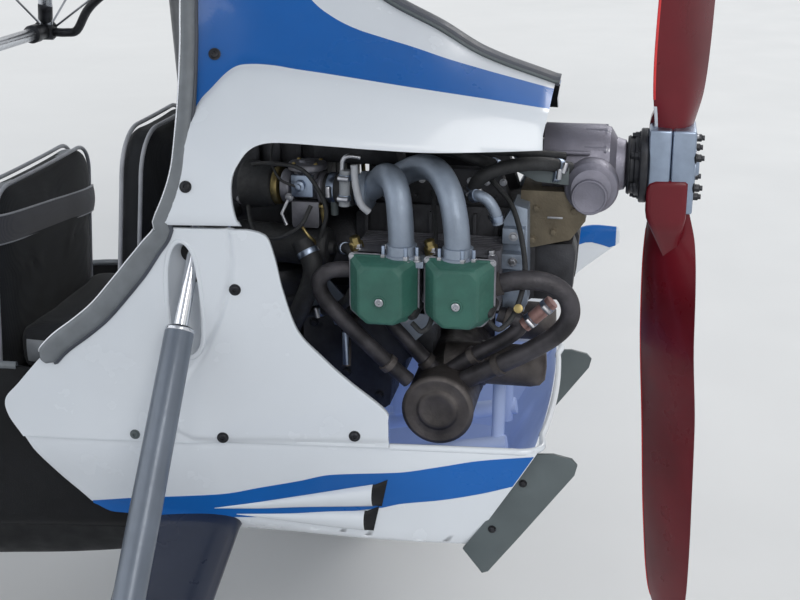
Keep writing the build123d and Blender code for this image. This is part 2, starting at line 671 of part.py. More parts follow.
def propeller_nodes():
    place = Pos(HUB_X, 0, HUB_Z)
    over = Rot(180, 0, 0)
    cheek = blade_cheek()
    hub = Box(HUB_S[1] - HUB_S[0], 2 * HUB_HALF_Y, 2 * HUB_HALF_Z)
    hub = Pos((HUB_S[0] + HUB_S[1]) / 2, 0, 0) * fillet(hub.edges().filter_by(Axis.X), 14)
    hub -= cheek
    hub -= over * cheek
    bolts = []
    for i in range(6):
        turn = math.radians(60 * i + 30)
        y, z = HUB_BOLT_CIRCLE * math.cos(turn), HUB_BOLT_CIRCLE * math.sin(turn)
        hub += rod((HUB_S[0] - 14, y, z), (HUB_S[0], y, z), 6.5)
        bolts.append(rod((HUB_S[1] + 13, y, z), (HUB_S[1] + 27, y, z), 6.5))
    flange = rod((HUB_S[1], 0, 0), (HUB_S[1] + 13, 0, 0), FLANGE_R)
    flange += rod((HUB_S[1] + 13, 0, 0), (HUB_S[1] + 34, 0, 0), 34)
    flange += rod((HUB_S[1] + 34, 0, 0), (126, 0, 0), 15)
    for bolt in bolts:
        flange += bolt
    upper = blade() + cheek
    blades = []
    for piece in (upper, over * upper):
        blades += (piece - hub).solids()
    nodes["propeller_hub"] = place * hub
    nodes["propeller_flange"] = place * flange
    nodes["propeller_blades"] = place * Compound(children=blades)


# Wing

WING_ROWS = [
    # distance from the keel, leading edge station, trailing edge station, height of the flat side
    (0, 2290, -330, KEEL_Z + KEEL_R),
    (1500, 1630, -290, KEEL_Z + KEEL_R + 8),
    (3200, 880, -300, KEEL_Z + KEEL_R + 30),
    (HALF_SPAN, 60, -470, KEEL_Z + KEEL_R + 95),
]


def wing_section(row, side):
    y, lead, trail, z = row
    chord = lead - trail
    plane = Plane(origin=at(lead, side * y, z), x_dir=(-1, 0, 0), z_dir=(0, 1, 0))
    up = 1 if plane.y_dir.Z > 0 else -1
    nose = 0.030 * chord
    skin = SAIL_WALL + 1
    pts = [(nose, 0), (0, 0.022 * chord), (nose, 0.055 * chord), (0.22 * chord, 0.098 * chord),
           (0.60 * chord, 0.066 * chord), (0.80 * chord, 0.034 * chord), (chord, 0.012 * chord),
           (chord, 0.012 * chord - skin), (0.80 * chord, 0.034 * chord - skin), (0.74 * chord, 0)]
    pts = [(a, b * up) for a, b in pts]
    edges = [ThreePointArc(pts[0], pts[1], pts[2]), ThreePointArc(pts[2], pts[3], pts[4])]
    edges += [Line(a, b) for a, b in zip(pts[4:], pts[5:] + pts[:1])]
    face = make_face(edges)
    return plane * face


def inner_section(row, side):
    y, lead, trail, z = row
    chord = lead - trail
    plane = Plane(origin=at(lead, side * y, z), x_dir=(-1, 0, 0), z_dir=(0, 1, 0))
    up = 1 if plane.y_dir.Z > 0 else -1
    t = SAIL_WALL
    nose = 0.030 * chord
    pts = [(nose, t), (t, 0.022 * chord), (nose, 0.055 * chord - t), (0.22 * chord, 0.098 * chord - t),
           (0.60 * chord, 0.066 * chord - t), (0.77 * chord, 0.038 * chord - t), (0.73 * chord, t)]
    pts = [(a, b * up) for a, b in pts]
    edges = [ThreePointArc(pts[0], pts[1], pts[2]), ThreePointArc(pts[2], pts[3], pts[4]),
             Line(pts[4], pts[5]), Line(pts[5], pts[6]), Line(pts[6], pts[0])]
    return plane * make_face(edges)


def sail():
    rows = WING_ROWS
    halves = []
    for side in (1, -1):
        outer = loft([wing_section(row, side) for row in rows], ruled=True)
        inner = loft([inner_section(row, side) for row in rows], ruled=True)
        halves.append(outer - inner)
    whole = halves[0] + halves[1]
    whole -= rod(at(KINGPOST_S, 0, KEEL_Z), at(KINGPOST_S, 0, KEEL_Z + 600), KINGPOST_R + 6)
    return whole


def wing_nodes():
    nodes["sail"] = sail()
    keel = rod(at(KEEL_TAIL_S, 0, KEEL_Z), at(KEEL_NOSE_S, 0, KEEL_Z), KEEL_R)
    nodes["keel"] = keel - rod(at(KEEL_TAIL_S, 0, KEEL_Z), at(KEEL_NOSE_S, 0, KEEL_Z), KEEL_BORE_R)
    nodes["kingpost"] = rod(at(KINGPOST_S, 0, KEEL_Z + KEEL_R), at(KINGPOST_S, 0, KINGPOST_TOP_Z), KINGPOST_R)
    for side, name in ((1, "upright_left"), (-1, "upright_right")):
        top = at(UPRIGHT_TOP_S, side * 26, KEEL_Z - 50)
        low = at(BAR_S, side * BAR_HALF, BAR_Z)
        nodes[name] = rod(low, top, UPRIGHT_R) - nodes["hang_bracket"]
    bar = rod(at(BAR_S, -BAR_HALF, BAR_Z), at(BAR_S, BAR_HALF, BAR_Z), BAR_R)
    for side in (1, -1):
        bar += block((BAR_S - 22, BAR_S + 22), (side * BAR_HALF - 24, side * BAR_HALF + 24), (BAR_Z - 22, BAR_Z + 22))
    for name in ("upright_left", "upright_right"):
        nodes[name] = nodes[name] - bar
    nodes["base_bar"] = bar
    wires = []
    for side in (1, -1):
        corner = at(BAR_S, side * (BAR_HALF + 15), BAR_Z)
        edge_s = WING_ROWS[1][1] + (WING_ROWS[2][1] - WING_ROWS[1][1]) * (STAY_SPAN - 1500) / 1700 - 60
        edge = at(edge_s, side * STAY_SPAN, KEEL_Z + KEEL_R + 25)
        wires.append(rod(corner, edge, STAY_R))
        wires.append(rod(corner + Vector(8, 0, 0), at(KEEL_NOSE_S - 60, side * STAY_LUG, KEEL_Z), STAY_R))
        wires.append(rod(corner + Vector(-8, 0, 0), at(KEEL_TAIL_S + 60, side * STAY_LUG, KEEL_Z), STAY_R))
        peak = at(KINGPOST_S, side * 8, KINGPOST_TOP_Z - 20)
        wires.append(rod(peak, at(edge_s, side * (STAY_SPAN - 40), KEEL_Z + 90), STAY_R))
    peak = at(KINGPOST_S, 0, KINGPOST_TOP_Z - 12)
    wires.append(rod(peak + Vector(4, 0, 0), at(KEEL_NOSE_S - 20, 0, KEEL_Z + STAY_LUG), STAY_R))
    wires.append(rod(peak - Vector(4, 0, 0), at(KEEL_TAIL_S + 60, 0, KEEL_Z + STAY_LUG), STAY_R))
    nodes["stays"] = Compound(children=wires)


def trim_nodes():
    """The parts that edge and close the body panels."""
    edge = bent_tube([at(946, 336, 842), at(828, 328, 966), at(740, 306, 1090), at(716, 250, 1300), at(722, 60, 1840)],
                     13, 90)
    nodes["edge_tubes"] = both(edge - nodes["side_panel_left"] - nodes["upper_fairing"])
    ridge = [(182, 1232), (400, 1334), (620, 1480), (735, 1900)]
    strip = [(s, z + 12) for s, z in ridge] + [(s, z - 2) for s, z in reversed(ridge)]
    strip = side_prism(strip, -14, 14) & block((100, 712), (-50, 50), (1000, 2000))
    nodes["ridge_strip"] = strip - body_loft(BODY_ROWS, 0)
    fin = [(178, 687), (112, 687), (112, 672), (215, 535), (255, 477), (292, 500)]
    plate = side_prism(fin, 232, 239)
    nodes["tail_fins"] = both(plate - nodes["rear_tub"])
    dash = side_prism([(1985, 760), (2010, 760), (2035, 960), (2010, 960)], -400, 400) & nose_form(WALL)
    nodes["instrument_panel"] = dash - rod(at(2385, 0, 640), at(907, 0, 2306), 40)


nodes = {}
wheel_nodes("wheel_left", MAIN_AXLE_S, HALF_TRACK, MAIN_AXLE_R + RUN)
wheel_nodes("wheel_right", MAIN_AXLE_S, -HALF_TRACK, MAIN_AXLE_R + RUN)
wheel_nodes("front_wheel", NOSE_AXLE_S, 0, NOSE_AXLE_R + RUN)
body_nodes()
pod_nodes()
frame_nodes()
hang_nodes()
undercarriage_nodes()
steering_nodes()
seat_nodes()
cylinder_nodes()
case_nodes()
intake_nodes()
exhaust_nodes()
mount_nodes()
propeller_nodes()
wing_nodes()
trim_nodes()

os.makedirs("parts", exist_ok=True)
for name, shape in nodes.items():
    solids = shape.solids()
    export_step(solids[0] if len(solids) == 1 else Compound(children=list(solids)), f"parts/{name}.step")
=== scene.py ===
"""Looks of the weight-shift microlight trike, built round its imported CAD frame.

Metres, in the frame's axes: +X forward, +Y left, +Z up, and the ground is z = 0.
Stations, written s, run forward from the propeller's hub, so a point's x is its s + HUB_X.
"""

import math

import bmesh
import bpy
from mathutils import Matrix, Vector
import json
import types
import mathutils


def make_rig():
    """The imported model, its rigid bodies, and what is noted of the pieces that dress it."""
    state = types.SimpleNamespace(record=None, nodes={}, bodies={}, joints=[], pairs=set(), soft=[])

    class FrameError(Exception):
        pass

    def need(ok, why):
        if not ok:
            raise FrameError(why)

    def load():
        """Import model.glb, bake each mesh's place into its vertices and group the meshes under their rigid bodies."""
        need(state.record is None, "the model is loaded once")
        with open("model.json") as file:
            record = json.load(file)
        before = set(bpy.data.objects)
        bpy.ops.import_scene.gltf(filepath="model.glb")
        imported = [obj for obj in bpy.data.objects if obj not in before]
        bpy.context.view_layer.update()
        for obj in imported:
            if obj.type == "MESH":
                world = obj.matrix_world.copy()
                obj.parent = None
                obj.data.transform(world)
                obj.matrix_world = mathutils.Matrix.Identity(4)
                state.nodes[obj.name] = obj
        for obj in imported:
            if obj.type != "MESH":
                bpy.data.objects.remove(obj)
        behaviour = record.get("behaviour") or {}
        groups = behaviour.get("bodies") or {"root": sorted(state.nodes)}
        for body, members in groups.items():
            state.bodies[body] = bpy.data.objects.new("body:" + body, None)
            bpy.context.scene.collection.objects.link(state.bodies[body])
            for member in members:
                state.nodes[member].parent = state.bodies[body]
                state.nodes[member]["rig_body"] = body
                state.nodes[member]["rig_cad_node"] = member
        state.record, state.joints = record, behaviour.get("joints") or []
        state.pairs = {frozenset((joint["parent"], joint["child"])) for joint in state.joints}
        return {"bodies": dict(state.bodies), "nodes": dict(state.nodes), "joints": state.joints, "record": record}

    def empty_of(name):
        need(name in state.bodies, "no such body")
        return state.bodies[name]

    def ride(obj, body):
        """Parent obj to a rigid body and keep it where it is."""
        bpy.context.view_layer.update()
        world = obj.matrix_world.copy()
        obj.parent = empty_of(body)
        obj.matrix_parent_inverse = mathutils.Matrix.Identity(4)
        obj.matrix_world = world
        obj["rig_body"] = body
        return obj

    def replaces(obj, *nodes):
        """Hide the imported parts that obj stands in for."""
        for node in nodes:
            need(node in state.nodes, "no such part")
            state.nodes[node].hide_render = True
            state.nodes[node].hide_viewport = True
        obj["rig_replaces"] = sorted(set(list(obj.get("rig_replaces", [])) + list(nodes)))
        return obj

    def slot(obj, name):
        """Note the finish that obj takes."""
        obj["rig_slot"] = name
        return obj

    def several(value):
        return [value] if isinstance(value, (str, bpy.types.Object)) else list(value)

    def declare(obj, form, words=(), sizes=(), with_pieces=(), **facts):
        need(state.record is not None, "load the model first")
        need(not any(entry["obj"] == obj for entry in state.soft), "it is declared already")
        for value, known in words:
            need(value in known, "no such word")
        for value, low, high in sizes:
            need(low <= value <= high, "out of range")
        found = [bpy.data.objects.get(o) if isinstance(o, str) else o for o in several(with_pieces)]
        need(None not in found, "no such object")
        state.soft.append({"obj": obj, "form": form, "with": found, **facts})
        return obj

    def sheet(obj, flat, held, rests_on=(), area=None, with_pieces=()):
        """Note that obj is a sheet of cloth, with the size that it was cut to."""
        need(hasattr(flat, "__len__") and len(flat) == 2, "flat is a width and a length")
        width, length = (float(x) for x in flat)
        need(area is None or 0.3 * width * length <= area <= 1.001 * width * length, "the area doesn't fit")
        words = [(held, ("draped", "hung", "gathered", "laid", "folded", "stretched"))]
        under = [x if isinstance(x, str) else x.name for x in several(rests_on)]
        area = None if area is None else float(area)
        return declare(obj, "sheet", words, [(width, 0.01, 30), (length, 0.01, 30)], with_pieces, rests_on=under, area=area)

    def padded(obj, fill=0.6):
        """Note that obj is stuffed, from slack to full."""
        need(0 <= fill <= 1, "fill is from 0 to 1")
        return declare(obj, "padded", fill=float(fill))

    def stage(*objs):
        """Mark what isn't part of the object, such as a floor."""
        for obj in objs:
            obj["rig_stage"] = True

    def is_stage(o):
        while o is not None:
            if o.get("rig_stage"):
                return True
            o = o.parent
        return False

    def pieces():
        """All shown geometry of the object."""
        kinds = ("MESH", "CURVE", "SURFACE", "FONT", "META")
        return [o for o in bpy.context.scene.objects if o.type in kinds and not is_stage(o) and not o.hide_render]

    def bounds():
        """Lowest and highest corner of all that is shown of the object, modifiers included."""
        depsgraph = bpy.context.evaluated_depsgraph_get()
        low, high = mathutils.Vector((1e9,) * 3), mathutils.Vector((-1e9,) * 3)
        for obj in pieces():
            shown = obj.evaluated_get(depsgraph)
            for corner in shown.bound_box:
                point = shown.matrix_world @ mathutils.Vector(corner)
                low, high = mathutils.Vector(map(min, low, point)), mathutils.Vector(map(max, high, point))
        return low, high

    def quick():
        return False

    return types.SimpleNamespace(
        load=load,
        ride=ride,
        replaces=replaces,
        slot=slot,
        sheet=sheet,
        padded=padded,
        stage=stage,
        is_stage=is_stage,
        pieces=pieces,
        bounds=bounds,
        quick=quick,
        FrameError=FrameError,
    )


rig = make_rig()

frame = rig.load()
cad_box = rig.bounds()

HUB_X = -1.0
HUB_Z = 1.105
MAIN_AXLE_S = 0.760
NOSE_AXLE_S = 2.450
HALF_TRACK = 0.850
TYRE_R = 0.200

# The camera, fitted to the photograph
CAMERA_AT = (0.04 + HUB_X, 2.2, 1.60)
CAMERA_YAW = 10.2
CAMERA_PITCH = 18.5
FOCAL_PIXELS = 1370.0
PICTURE_WIDTH = 800.0
SENSOR_MM = 36.0


# Small maths

def at(s, y, z):
    return Vector((s + HUB_X, y, z))


def curve_of(table):
    """A smooth function through (x, y) rows that never overshoots them."""
    xs = [row[0] for row in table]
    ys = [row[1] for row in table]
    slopes = [(ys[i + 1] - ys[i]) / (xs[i + 1] - xs[i]) for i in range(len(xs) - 1)]
    tangents = [slopes[0]]
    for a, b in zip(slopes, slopes[1:]):
        tangents.append(0.0 if a * b <= 0 else 2 * a * b / (a + b))
    tangents.append(slopes[-1])

    def value(x):
        x = min(max(x, xs[0]), xs[-1])
        i = 0
        while i < len(xs) - 2 and x > xs[i + 1]:
            i += 1
        width = xs[i + 1] - xs[i]
        t = (x - xs[i]) / width
        return ((1 + 2 * t) * (1 - t) ** 2 * ys[i] + t * (1 - t) ** 2 * width * tangents[i]
                + t * t * (3 - 2 * t) * ys[i + 1] + t * t * (t - 1) * width * tangents[i + 1])
    return value


def line_of(table):
    """A function of straight runs through (x, y) rows."""
    def value(x):
        x = min(max(x, table[0][0]), table[-1][0])
        for (x0, y0), (x1, y1) in zip(table, table[1:]):
            if x <= x1:
                return y0 + (y1 - y0) * (x - x0) / (x1 - x0)
        return table[-1][1]
    return value


def steps(low, high, count):
    return [low + (high - low) * i / (count - 1) for i in range(count)]


def smooth_path(points, per_run=8, closed=False):
    """Points along a Catmull-Rom line through the given ones."""
    pts = [Vector(p) for p in points]
    if closed:
        pts = [pts[-1]] + pts + [pts[0], pts[1]]
    else:
        pts = [2 * pts[0] - pts[1]] + pts + [2 * pts[-1] - pts[-2]]
    out = []
    for p0, p1, p2, p3 in zip(pts, pts[1:], pts[2:], pts[3:]):
        for i in range(per_run):
            t = i / per_run
            out.append(0.5 * (2 * p1 + (p2 - p0) * t + (2 * p0 - 5 * p1 + 4 * p2 - p3) * t * t
                              + (3 * p1 - p0 - 3 * p2 + p3) * t ** 3))
    if not closed:
        out.append(pts[-2])
    return out


def turned(axis):
    """A rotation that takes +Z to an axis."""
    return Vector(axis).normalized().to_track_quat("Z", "Y").to_matrix().to_4x4()


# Materials

def link(tree, a, out, b, into):
    tree.links.new(a.outputs[out], b.inputs[into])


def start_material(name):
    mat = bpy.data.materials.new(name)
    mat.use_nodes = True
    tree = mat.node_tree
    shader = tree.nodes["Principled BSDF"]
    place = tree.nodes.new("ShaderNodeTexCoord")
    return mat, tree, shader, place


def noise(tree, place, scale, detail=4.0, stretch=None):
    node = tree.nodes.new("ShaderNodeTexNoise")
    node.inputs["Scale"].default_value = scale
    node.inputs["Detail"].default_value = detail
    if stretch:
        mapping = tree.nodes.new("ShaderNodeMapping")
        mapping.inputs["Scale"].default_value = stretch
        link(tree, place, "Object", mapping, "Vector")
        link(tree, mapping, "Vector", node, "Vector")
    else:
        link(tree, place, "Object", node, "Vector")
    return node


def spread(tree, source, out, low, high, from_low=0.3, from_high=0.7):
    node = tree.nodes.new("ShaderNodeMapRange")
    node.inputs["From Min"].default_value = from_low
    node.inputs["From Max"].default_value = from_high
    node.inputs["To Min"].default_value = low
    node.inputs["To Max"].default_value = high
    link(tree, source, out, node, "Value")
    return node


def two_tone(tree, source, out, dark, light, low=0.35, high=0.65):
    ramp = tree.nodes.new("ShaderNodeValToRGB")
    ramp.color_ramp.elements[0].position = low
    ramp.color_ramp.elements[0].color = (*dark, 1)
    ramp.color_ramp.elements[1].position = high
    ramp.color_ramp.elements[1].color = (*light, 1)
    link(tree, source, out, ramp, "Fac")
    return ramp


def add_bump(tree, source, out, shader, depth, into="Normal"):
    bump = tree.nodes.new("ShaderNodeBump")
    bump.inputs["Strength"].default_value = 1.0
    bump.inputs["Distance"].default_value = depth
    link(tree, source, out, bump, "Height")
    link(tree, bump, "Normal", shader, into)
    return bump


def surface(name, colour, rough=0.4, metal=0.0, coat=0.0, tint=0.08, grain=18.0, bump=0.0, bump_scale=350.0,
            stretch=None, sheen=0.0, shine=0.5, painted_glow=None):
    """A plain finish with slow colour and gloss variation and a fine surface grain."""
    mat, tree, shader, place = start_material(name)
    broad = noise(tree, place, grain, 5.0, stretch)
    dark = [c * (1 - tint) for c in colour]
    light = [min(c * (1 + tint), 1.0) for c in colour]
    ramp = two_tone(tree, broad, "Fac", dark, light)
    link(tree, ramp, "Color", shader, "Base Color")
    gloss = noise(tree, place, grain * 4.3, 4.0, stretch)
    rough_map = spread(tree, gloss, "Fac", rough * 0.85, min(rough * 1.2, 1.0))
    link(tree, rough_map, "Result", shader, "Roughness")
    shader.inputs["Metallic"].default_value = metal
    shader.inputs["Coat Weight"].default_value = coat
    shader.inputs["Coat Roughness"].default_value = 0.06
    shader.inputs["Sheen Weight"].default_value = sheen
    shader.inputs["Specular IOR Level"].default_value = shine
    # An emission colour makes a surface glow though it is no lamp: painted light.
    if painted_glow:
        shader.inputs["Emission Color"].default_value = (*painted_glow, 1)
        shader.inputs["Emission Strength"].default_value = 1.0
    if bump:
        fine = noise(tree, place, bump_scale, 3.0)
        add_bump(tree, fine, "Fac", shader, bump)
    return mat


def cloth(name, dark, light, thread=0.0016, depth=0.0003, rough=0.85, sheen=0.3):
    """Woven cloth: two crossed sets of threads in bump, with a mottled colour."""
    mat, tree, shader, place = start_material(name)
    shader.inputs["Sheen Weight"].default_value = sheen
    shader.inputs["Roughness"].default_value = rough
    mottle = noise(tree, place, 9.0, 6.0)
    ramp = two_tone(tree, mottle, "Fac", dark, light)
    waves = []
    for direction in ("X", "Z"):
        wave = tree.nodes.new("ShaderNodeTexWave")
        wave.bands_direction = direction
        wave.inputs["Scale"].default_value = 0.314 / thread
        wave.inputs["Distortion"].default_value = 0.6
        wave.inputs["Detail"].default_value = 1.0
        link(tree, place, "Object", wave, "Vector")
        waves.append(wave)
    both_ways = tree.nodes.new("ShaderNodeMath")
    both_ways.operation = "MULTIPLY"
    link(tree, waves[0], "Fac", both_ways, 0)
    link(tree, waves[1], "Fac", both_ways, 1)
    shade = tree.nodes.new("ShaderNodeMix")
    shade.data_type = "RGBA"
    shade.blend_type = "MULTIPLY"
    tone = spread(tree, both_ways, "Value", 0.0, 0.45, 0.0, 1.0)
    link(tree, tone, "Result", shade, "Factor")
    tree.links.new(ramp.outputs["Color"], shade.inputs[6])
    shade.inputs[7].default_value = (0.55, 0.55, 0.58, 1)
    tree.links.new(shade.outputs[2], shader.inputs["Base Color"])
    add_bump(tree, both_ways, "Value", shader, depth)
    return mat


def make_materials():
    m = {}
    m["white"] = surface("white_gelcoat", (0.73, 0.765, 0.81), 0.24, coat=0.4, tint=0.03, grain=3.0)
    m["blue"] = surface("blue_gelcoat", (0.006, 0.115, 0.42), 0.30, coat=0.15, tint=0.10, grain=3.0,
                        shine=0.3)
    m["inside"] = surface("inside_gelcoat", (0.46, 0.52, 0.70), 0.42, tint=0.06, grain=6.0, bump=0.0004, bump_scale=60)
    # The tub's lining is pale blue and glows faintly: painted light for the light that comes through the white shell
    # and from the sky.
    m["painted_glow_lining"] = surface("tub_lining_painted_glow", (0.50, 0.57, 0.72), 0.45, tint=0.05, grain=6.0, painted_glow=(0.030, 0.048, 0.115))
    m["black"] = surface("black_moulding", (0.007, 0.0075, 0.009), 0.50, tint=0.25, grain=7.0, bump=0.0003, bump_scale=500,
                         shine=0.25)
    m["navy"] = surface("navy_gelcoat", (0.018, 0.024, 0.045), 0.30, coat=0.3, tint=0.15, grain=4.0)
    m["edge"] = surface("grey_edge", (0.175, 0.190, 0.205), 0.45, metal=0.15, tint=0.10, grain=30.0, bump=0.0002, bump_scale=900)
    m["fin"] = surface("fin_grey", (0.095, 0.115, 0.120), 0.40, tint=0.10, grain=12.0, bump=0.0002, bump_scale=700)
    m["ridge"] = surface("ridge_rubber", (0.055, 0.062, 0.080), 0.38, tint=0.2, grain=14.0, bump=0.0003, bump_scale=700)
    m["frame"] = surface("frame_metal", (0.16, 0.165, 0.175), 0.38, metal=0.7, tint=0.15, grain=20.0)
    m["alloy"] = surface("machined_alloy", (0.30, 0.36, 0.46), 0.36, metal=1.0, tint=0.08, grain=40.0, bump=0.0001, bump_scale=900)
    m["polished"] = surface("polished_tube", (0.62, 0.64, 0.68), 0.24, metal=1.0, tint=0.05, grain=10.0, stretch=(1, 12, 1))
    m["cast"] = surface("cast_engine", (0.20, 0.20, 0.225), 0.50, metal=0.8, tint=0.22, grain=22.0, bump=0.0006, bump_scale=420)
    m["dark_cast"] = surface("dark_engine", (0.045, 0.046, 0.052), 0.55, metal=0.6, tint=0.35, grain=18.0, bump=0.0006, bump_scale=380)
    m["gearcase"] = surface("gearcase", (0.225, 0.220, 0.265), 0.48, metal=0.7, tint=0.2, grain=12.0, bump=0.0005, bump_scale=320)
    m["ochre"] = surface("bronze_case", (0.155, 0.130, 0.092), 0.5, metal=0.6, tint=0.3, grain=16.0, bump=0.0006, bump_scale=300)
    m["intake"] = surface("intake_alloy", (0.26, 0.305, 0.375), 0.45, metal=0.6, tint=0.10, grain=25.0, bump=0.0005, bump_scale=500)
    m["green"] = surface("green_enamel", (0.030, 0.115, 0.088), 0.52, tint=0.12, grain=30.0, bump=0.0004, bump_scale=900)
    m["pipe"] = surface("sooty_steel", (0.048, 0.045, 0.050), 0.48, metal=0.5, tint=0.45, grain=26.0, bump=0.0006, bump_scale=260)
    m["can"] = surface("burnt_can", (0.070, 0.062, 0.060), 0.55, metal=0.45, tint=0.5, grain=17.0, bump=0.0006, bump_scale=240)
    m["rubber"] = surface("hose_rubber", (0.016, 0.017, 0.019), 0.62, tint=0.3, grain=30.0, bump=0.0005, bump_scale=600)
    m["tyre"] = surface("tyre_rubber", (0.030, 0.030, 0.031), 0.82, tint=0.35, grain=12.0, bump=0.0008, bump_scale=260)
    m["brass"] = surface("brass_fitting", (0.34, 0.27, 0.12), 0.38, metal=1.0, tint=0.2, grain=40.0)
    m["tinted"] = surface("heat_tinted_steel", (0.36, 0.21, 0.19), 0.45, metal=0.4, tint=0.3, grain=40.0)
    m["chrome"] = surface("chrome_rod", (0.86, 0.87, 0.90), 0.08, metal=1.0, tint=0.03, grain=12.0)
    m["strut"] = surface("strut_paint", (0.150, 0.175, 0.215), 0.36, metal=0.35, tint=0.07, grain=16.0, coat=0.2)
    m["steel"] = surface("plain_steel", (0.42, 0.43, 0.46), 0.35, metal=1.0, tint=0.1, grain=60.0)
    m["bolt"] = surface("black_bolt", (0.030, 0.031, 0.036), 0.42, metal=0.6, tint=0.3, grain=60.0)
    m["red"] = surface("red_lacquer", (0.125, 0.006, 0.012), 0.30, coat=0.12, tint=0.22, grain=5.0,
                       shine=0.3)
    # A brighter red for strips on the blades' edges: the blade's own red as lit, a painted highlight.
    m["red_edge"] = surface("red_painted_highlight_strip", (0.62, 0.020, 0.022), 0.22, coat=0.5, tint=0.1, grain=12.0)
    m["seat"] = cloth("seat_cloth", (0.006, 0.007, 0.009), (0.016, 0.018, 0.022), sheen=0.08)
    m["band"] = cloth("seat_band", (0.040, 0.041, 0.052), (0.060, 0.061, 0.075))
    m["gusset"] = surface("grey_vinyl", (0.25, 0.265, 0.285), 0.42, tint=0.10, grain=30.0, bump=0.0003, bump_scale=700)
    m["piping"] = surface("seat_piping", (0.40, 0.41, 0.44), 0.50, tint=0.1, grain=40.0, bump=0.0003, bump_scale=900)
    m["sail"] = cloth("sail_white", (0.752, 0.772, 0.802), (0.768, 0.788, 0.818), thread=0.010, depth=0.00003, rough=0.5, sheen=0.1)
    m["sail_blue"] = cloth("sail_blue", (0.012, 0.115, 0.40), (0.014, 0.125, 0.42), thread=0.010, depth=0.00003, rough=0.5, sheen=0.1)
    glass, tree, shader, place = start_material("smoked_screen")
    shader.inputs["Base Color"].default_value = (0.30, 0.32, 0.35, 1)
    shader.inputs["Roughness"].default_value = 0.04
    shader.inputs["Transmission Weight"].default_value = 0.85
    shader.inputs["IOR"].default_value = 1.2
    haze = noise(tree, place, 6.0, 3.0)
    add_bump(tree, haze, "Fac", shader, 0.0004)
    m["glass"] = glass
    return m


M = make_materials()

# Which finish each CAD node takes when it is shown as it is
NODE_FINISH = {
    "tyre": "tyre", "rim_alloy": "alloy", "white_shell": "white", "blue_shell": "blue", "black_composite": "black",
    "smoked_glass": "glass", "frame_alloy": "frame", "machined_alloy": "alloy", "navy_composite": "navy",
    "steel": "steel", "chrome": "chrome", "strut_paint": "strut", "fork_paint": "frame", "seat_cloth": "seat",
    "engine_alloy": "cast", "green_cover": "green", "intake_alloy": "intake", "black_can": "can",
    "black_pipe": "pipe", "black_steel": "bolt", "red_blade": "red", "sail_cloth": "sail", "wing_alloy": "polished",
    "stay_wire": "steel", "grey_tube": "edge", "dark_trim": "ridge", "grey_trim": "fin",
}
for part in frame["record"]["subparts"]:
    node = frame["nodes"][part["node"]]
    node.data.materials.clear()
    node.data.materials.append(M[NODE_FINISH[part["material_slot"]]])
# The tubes that lie inside the tub wear its lining's pale glowing finish: painted light, so that they don't show dark
# in the tub's shade
for name in ("frame", "engine_mounts"):
    mesh = frame["nodes"][name].data
    mesh.materials.append(M["painted_glow_lining"])
    for face in mesh.polygons:
        if face.center.x < 0.690 + HUB_X and face.center.z < 0.800:
            face.material_index = 1


def make_camera():
    yaw, pitch = math.radians(CAMERA_YAW), math.radians(CAMERA_PITCH)
    look = Vector((math.sin(yaw) * math.cos(pitch), -math.cos(yaw) * math.cos(pitch), -math.sin(pitch)))
    data = bpy.data.cameras.new("camera")
    data.sensor_width = SENSOR_MM
    data.lens = FOCAL_PIXELS / PICTURE_WIDTH * SENSOR_MM
    data.clip_end = 200.0
    camera = bpy.data.objects.new("camera", data)
    camera.location = CAMERA_AT
    camera.rotation_euler = look.to_track_quat("-Z", "Y").to_euler()
    bpy.context.collection.objects.link(camera)
    bpy.context.scene.camera = camera


def soft_lamp(name, place, spread_angle, power, colour=(1, 1, 1)):
    """A far lamp that shines from a place towards the origin, as soft as a softbox that wide in degrees."""
    data = bpy.data.lights.new(name, "SUN")
    data.energy = power
    data.angle = math.radians(spread_angle)
    data.color = colour
    lamp = bpy.data.objects.new(name, data)
    lamp.location = place
    lamp.rotation_euler = (-Vector(place)).to_track_quat("-Z", "Y").to_euler()
    bpy.context.collection.objects.link(lamp)


def pale_to_camera(tree, lit, pale):
    """Shows a pale colour to the camera and to mirrors and glass, and lights the object with the other input."""
    rays = tree.nodes.new("ShaderNodeLightPath")
    most = tree.nodes.new("ShaderNodeMath")
    most.operation = "MAXIMUM"
    link(tree, rays, "Is Camera Ray", most, 0)
    link(tree, rays, "Is Glossy Ray", most, 1)
    also = tree.nodes.new("ShaderNodeMath")
    also.operation = "MAXIMUM"
    link(tree, most, "Value", also, 0)
    link(tree, rays, "Is Transmission Ray", also, 1)
    mix = tree.nodes.new("ShaderNodeMixShader")
    link(tree, also, "Value", mix, 0)
    tree.links.new(lit.outputs[0], mix.inputs[1])
    tree.links.new(pale.outputs[0], mix.inputs[2])
    return mix


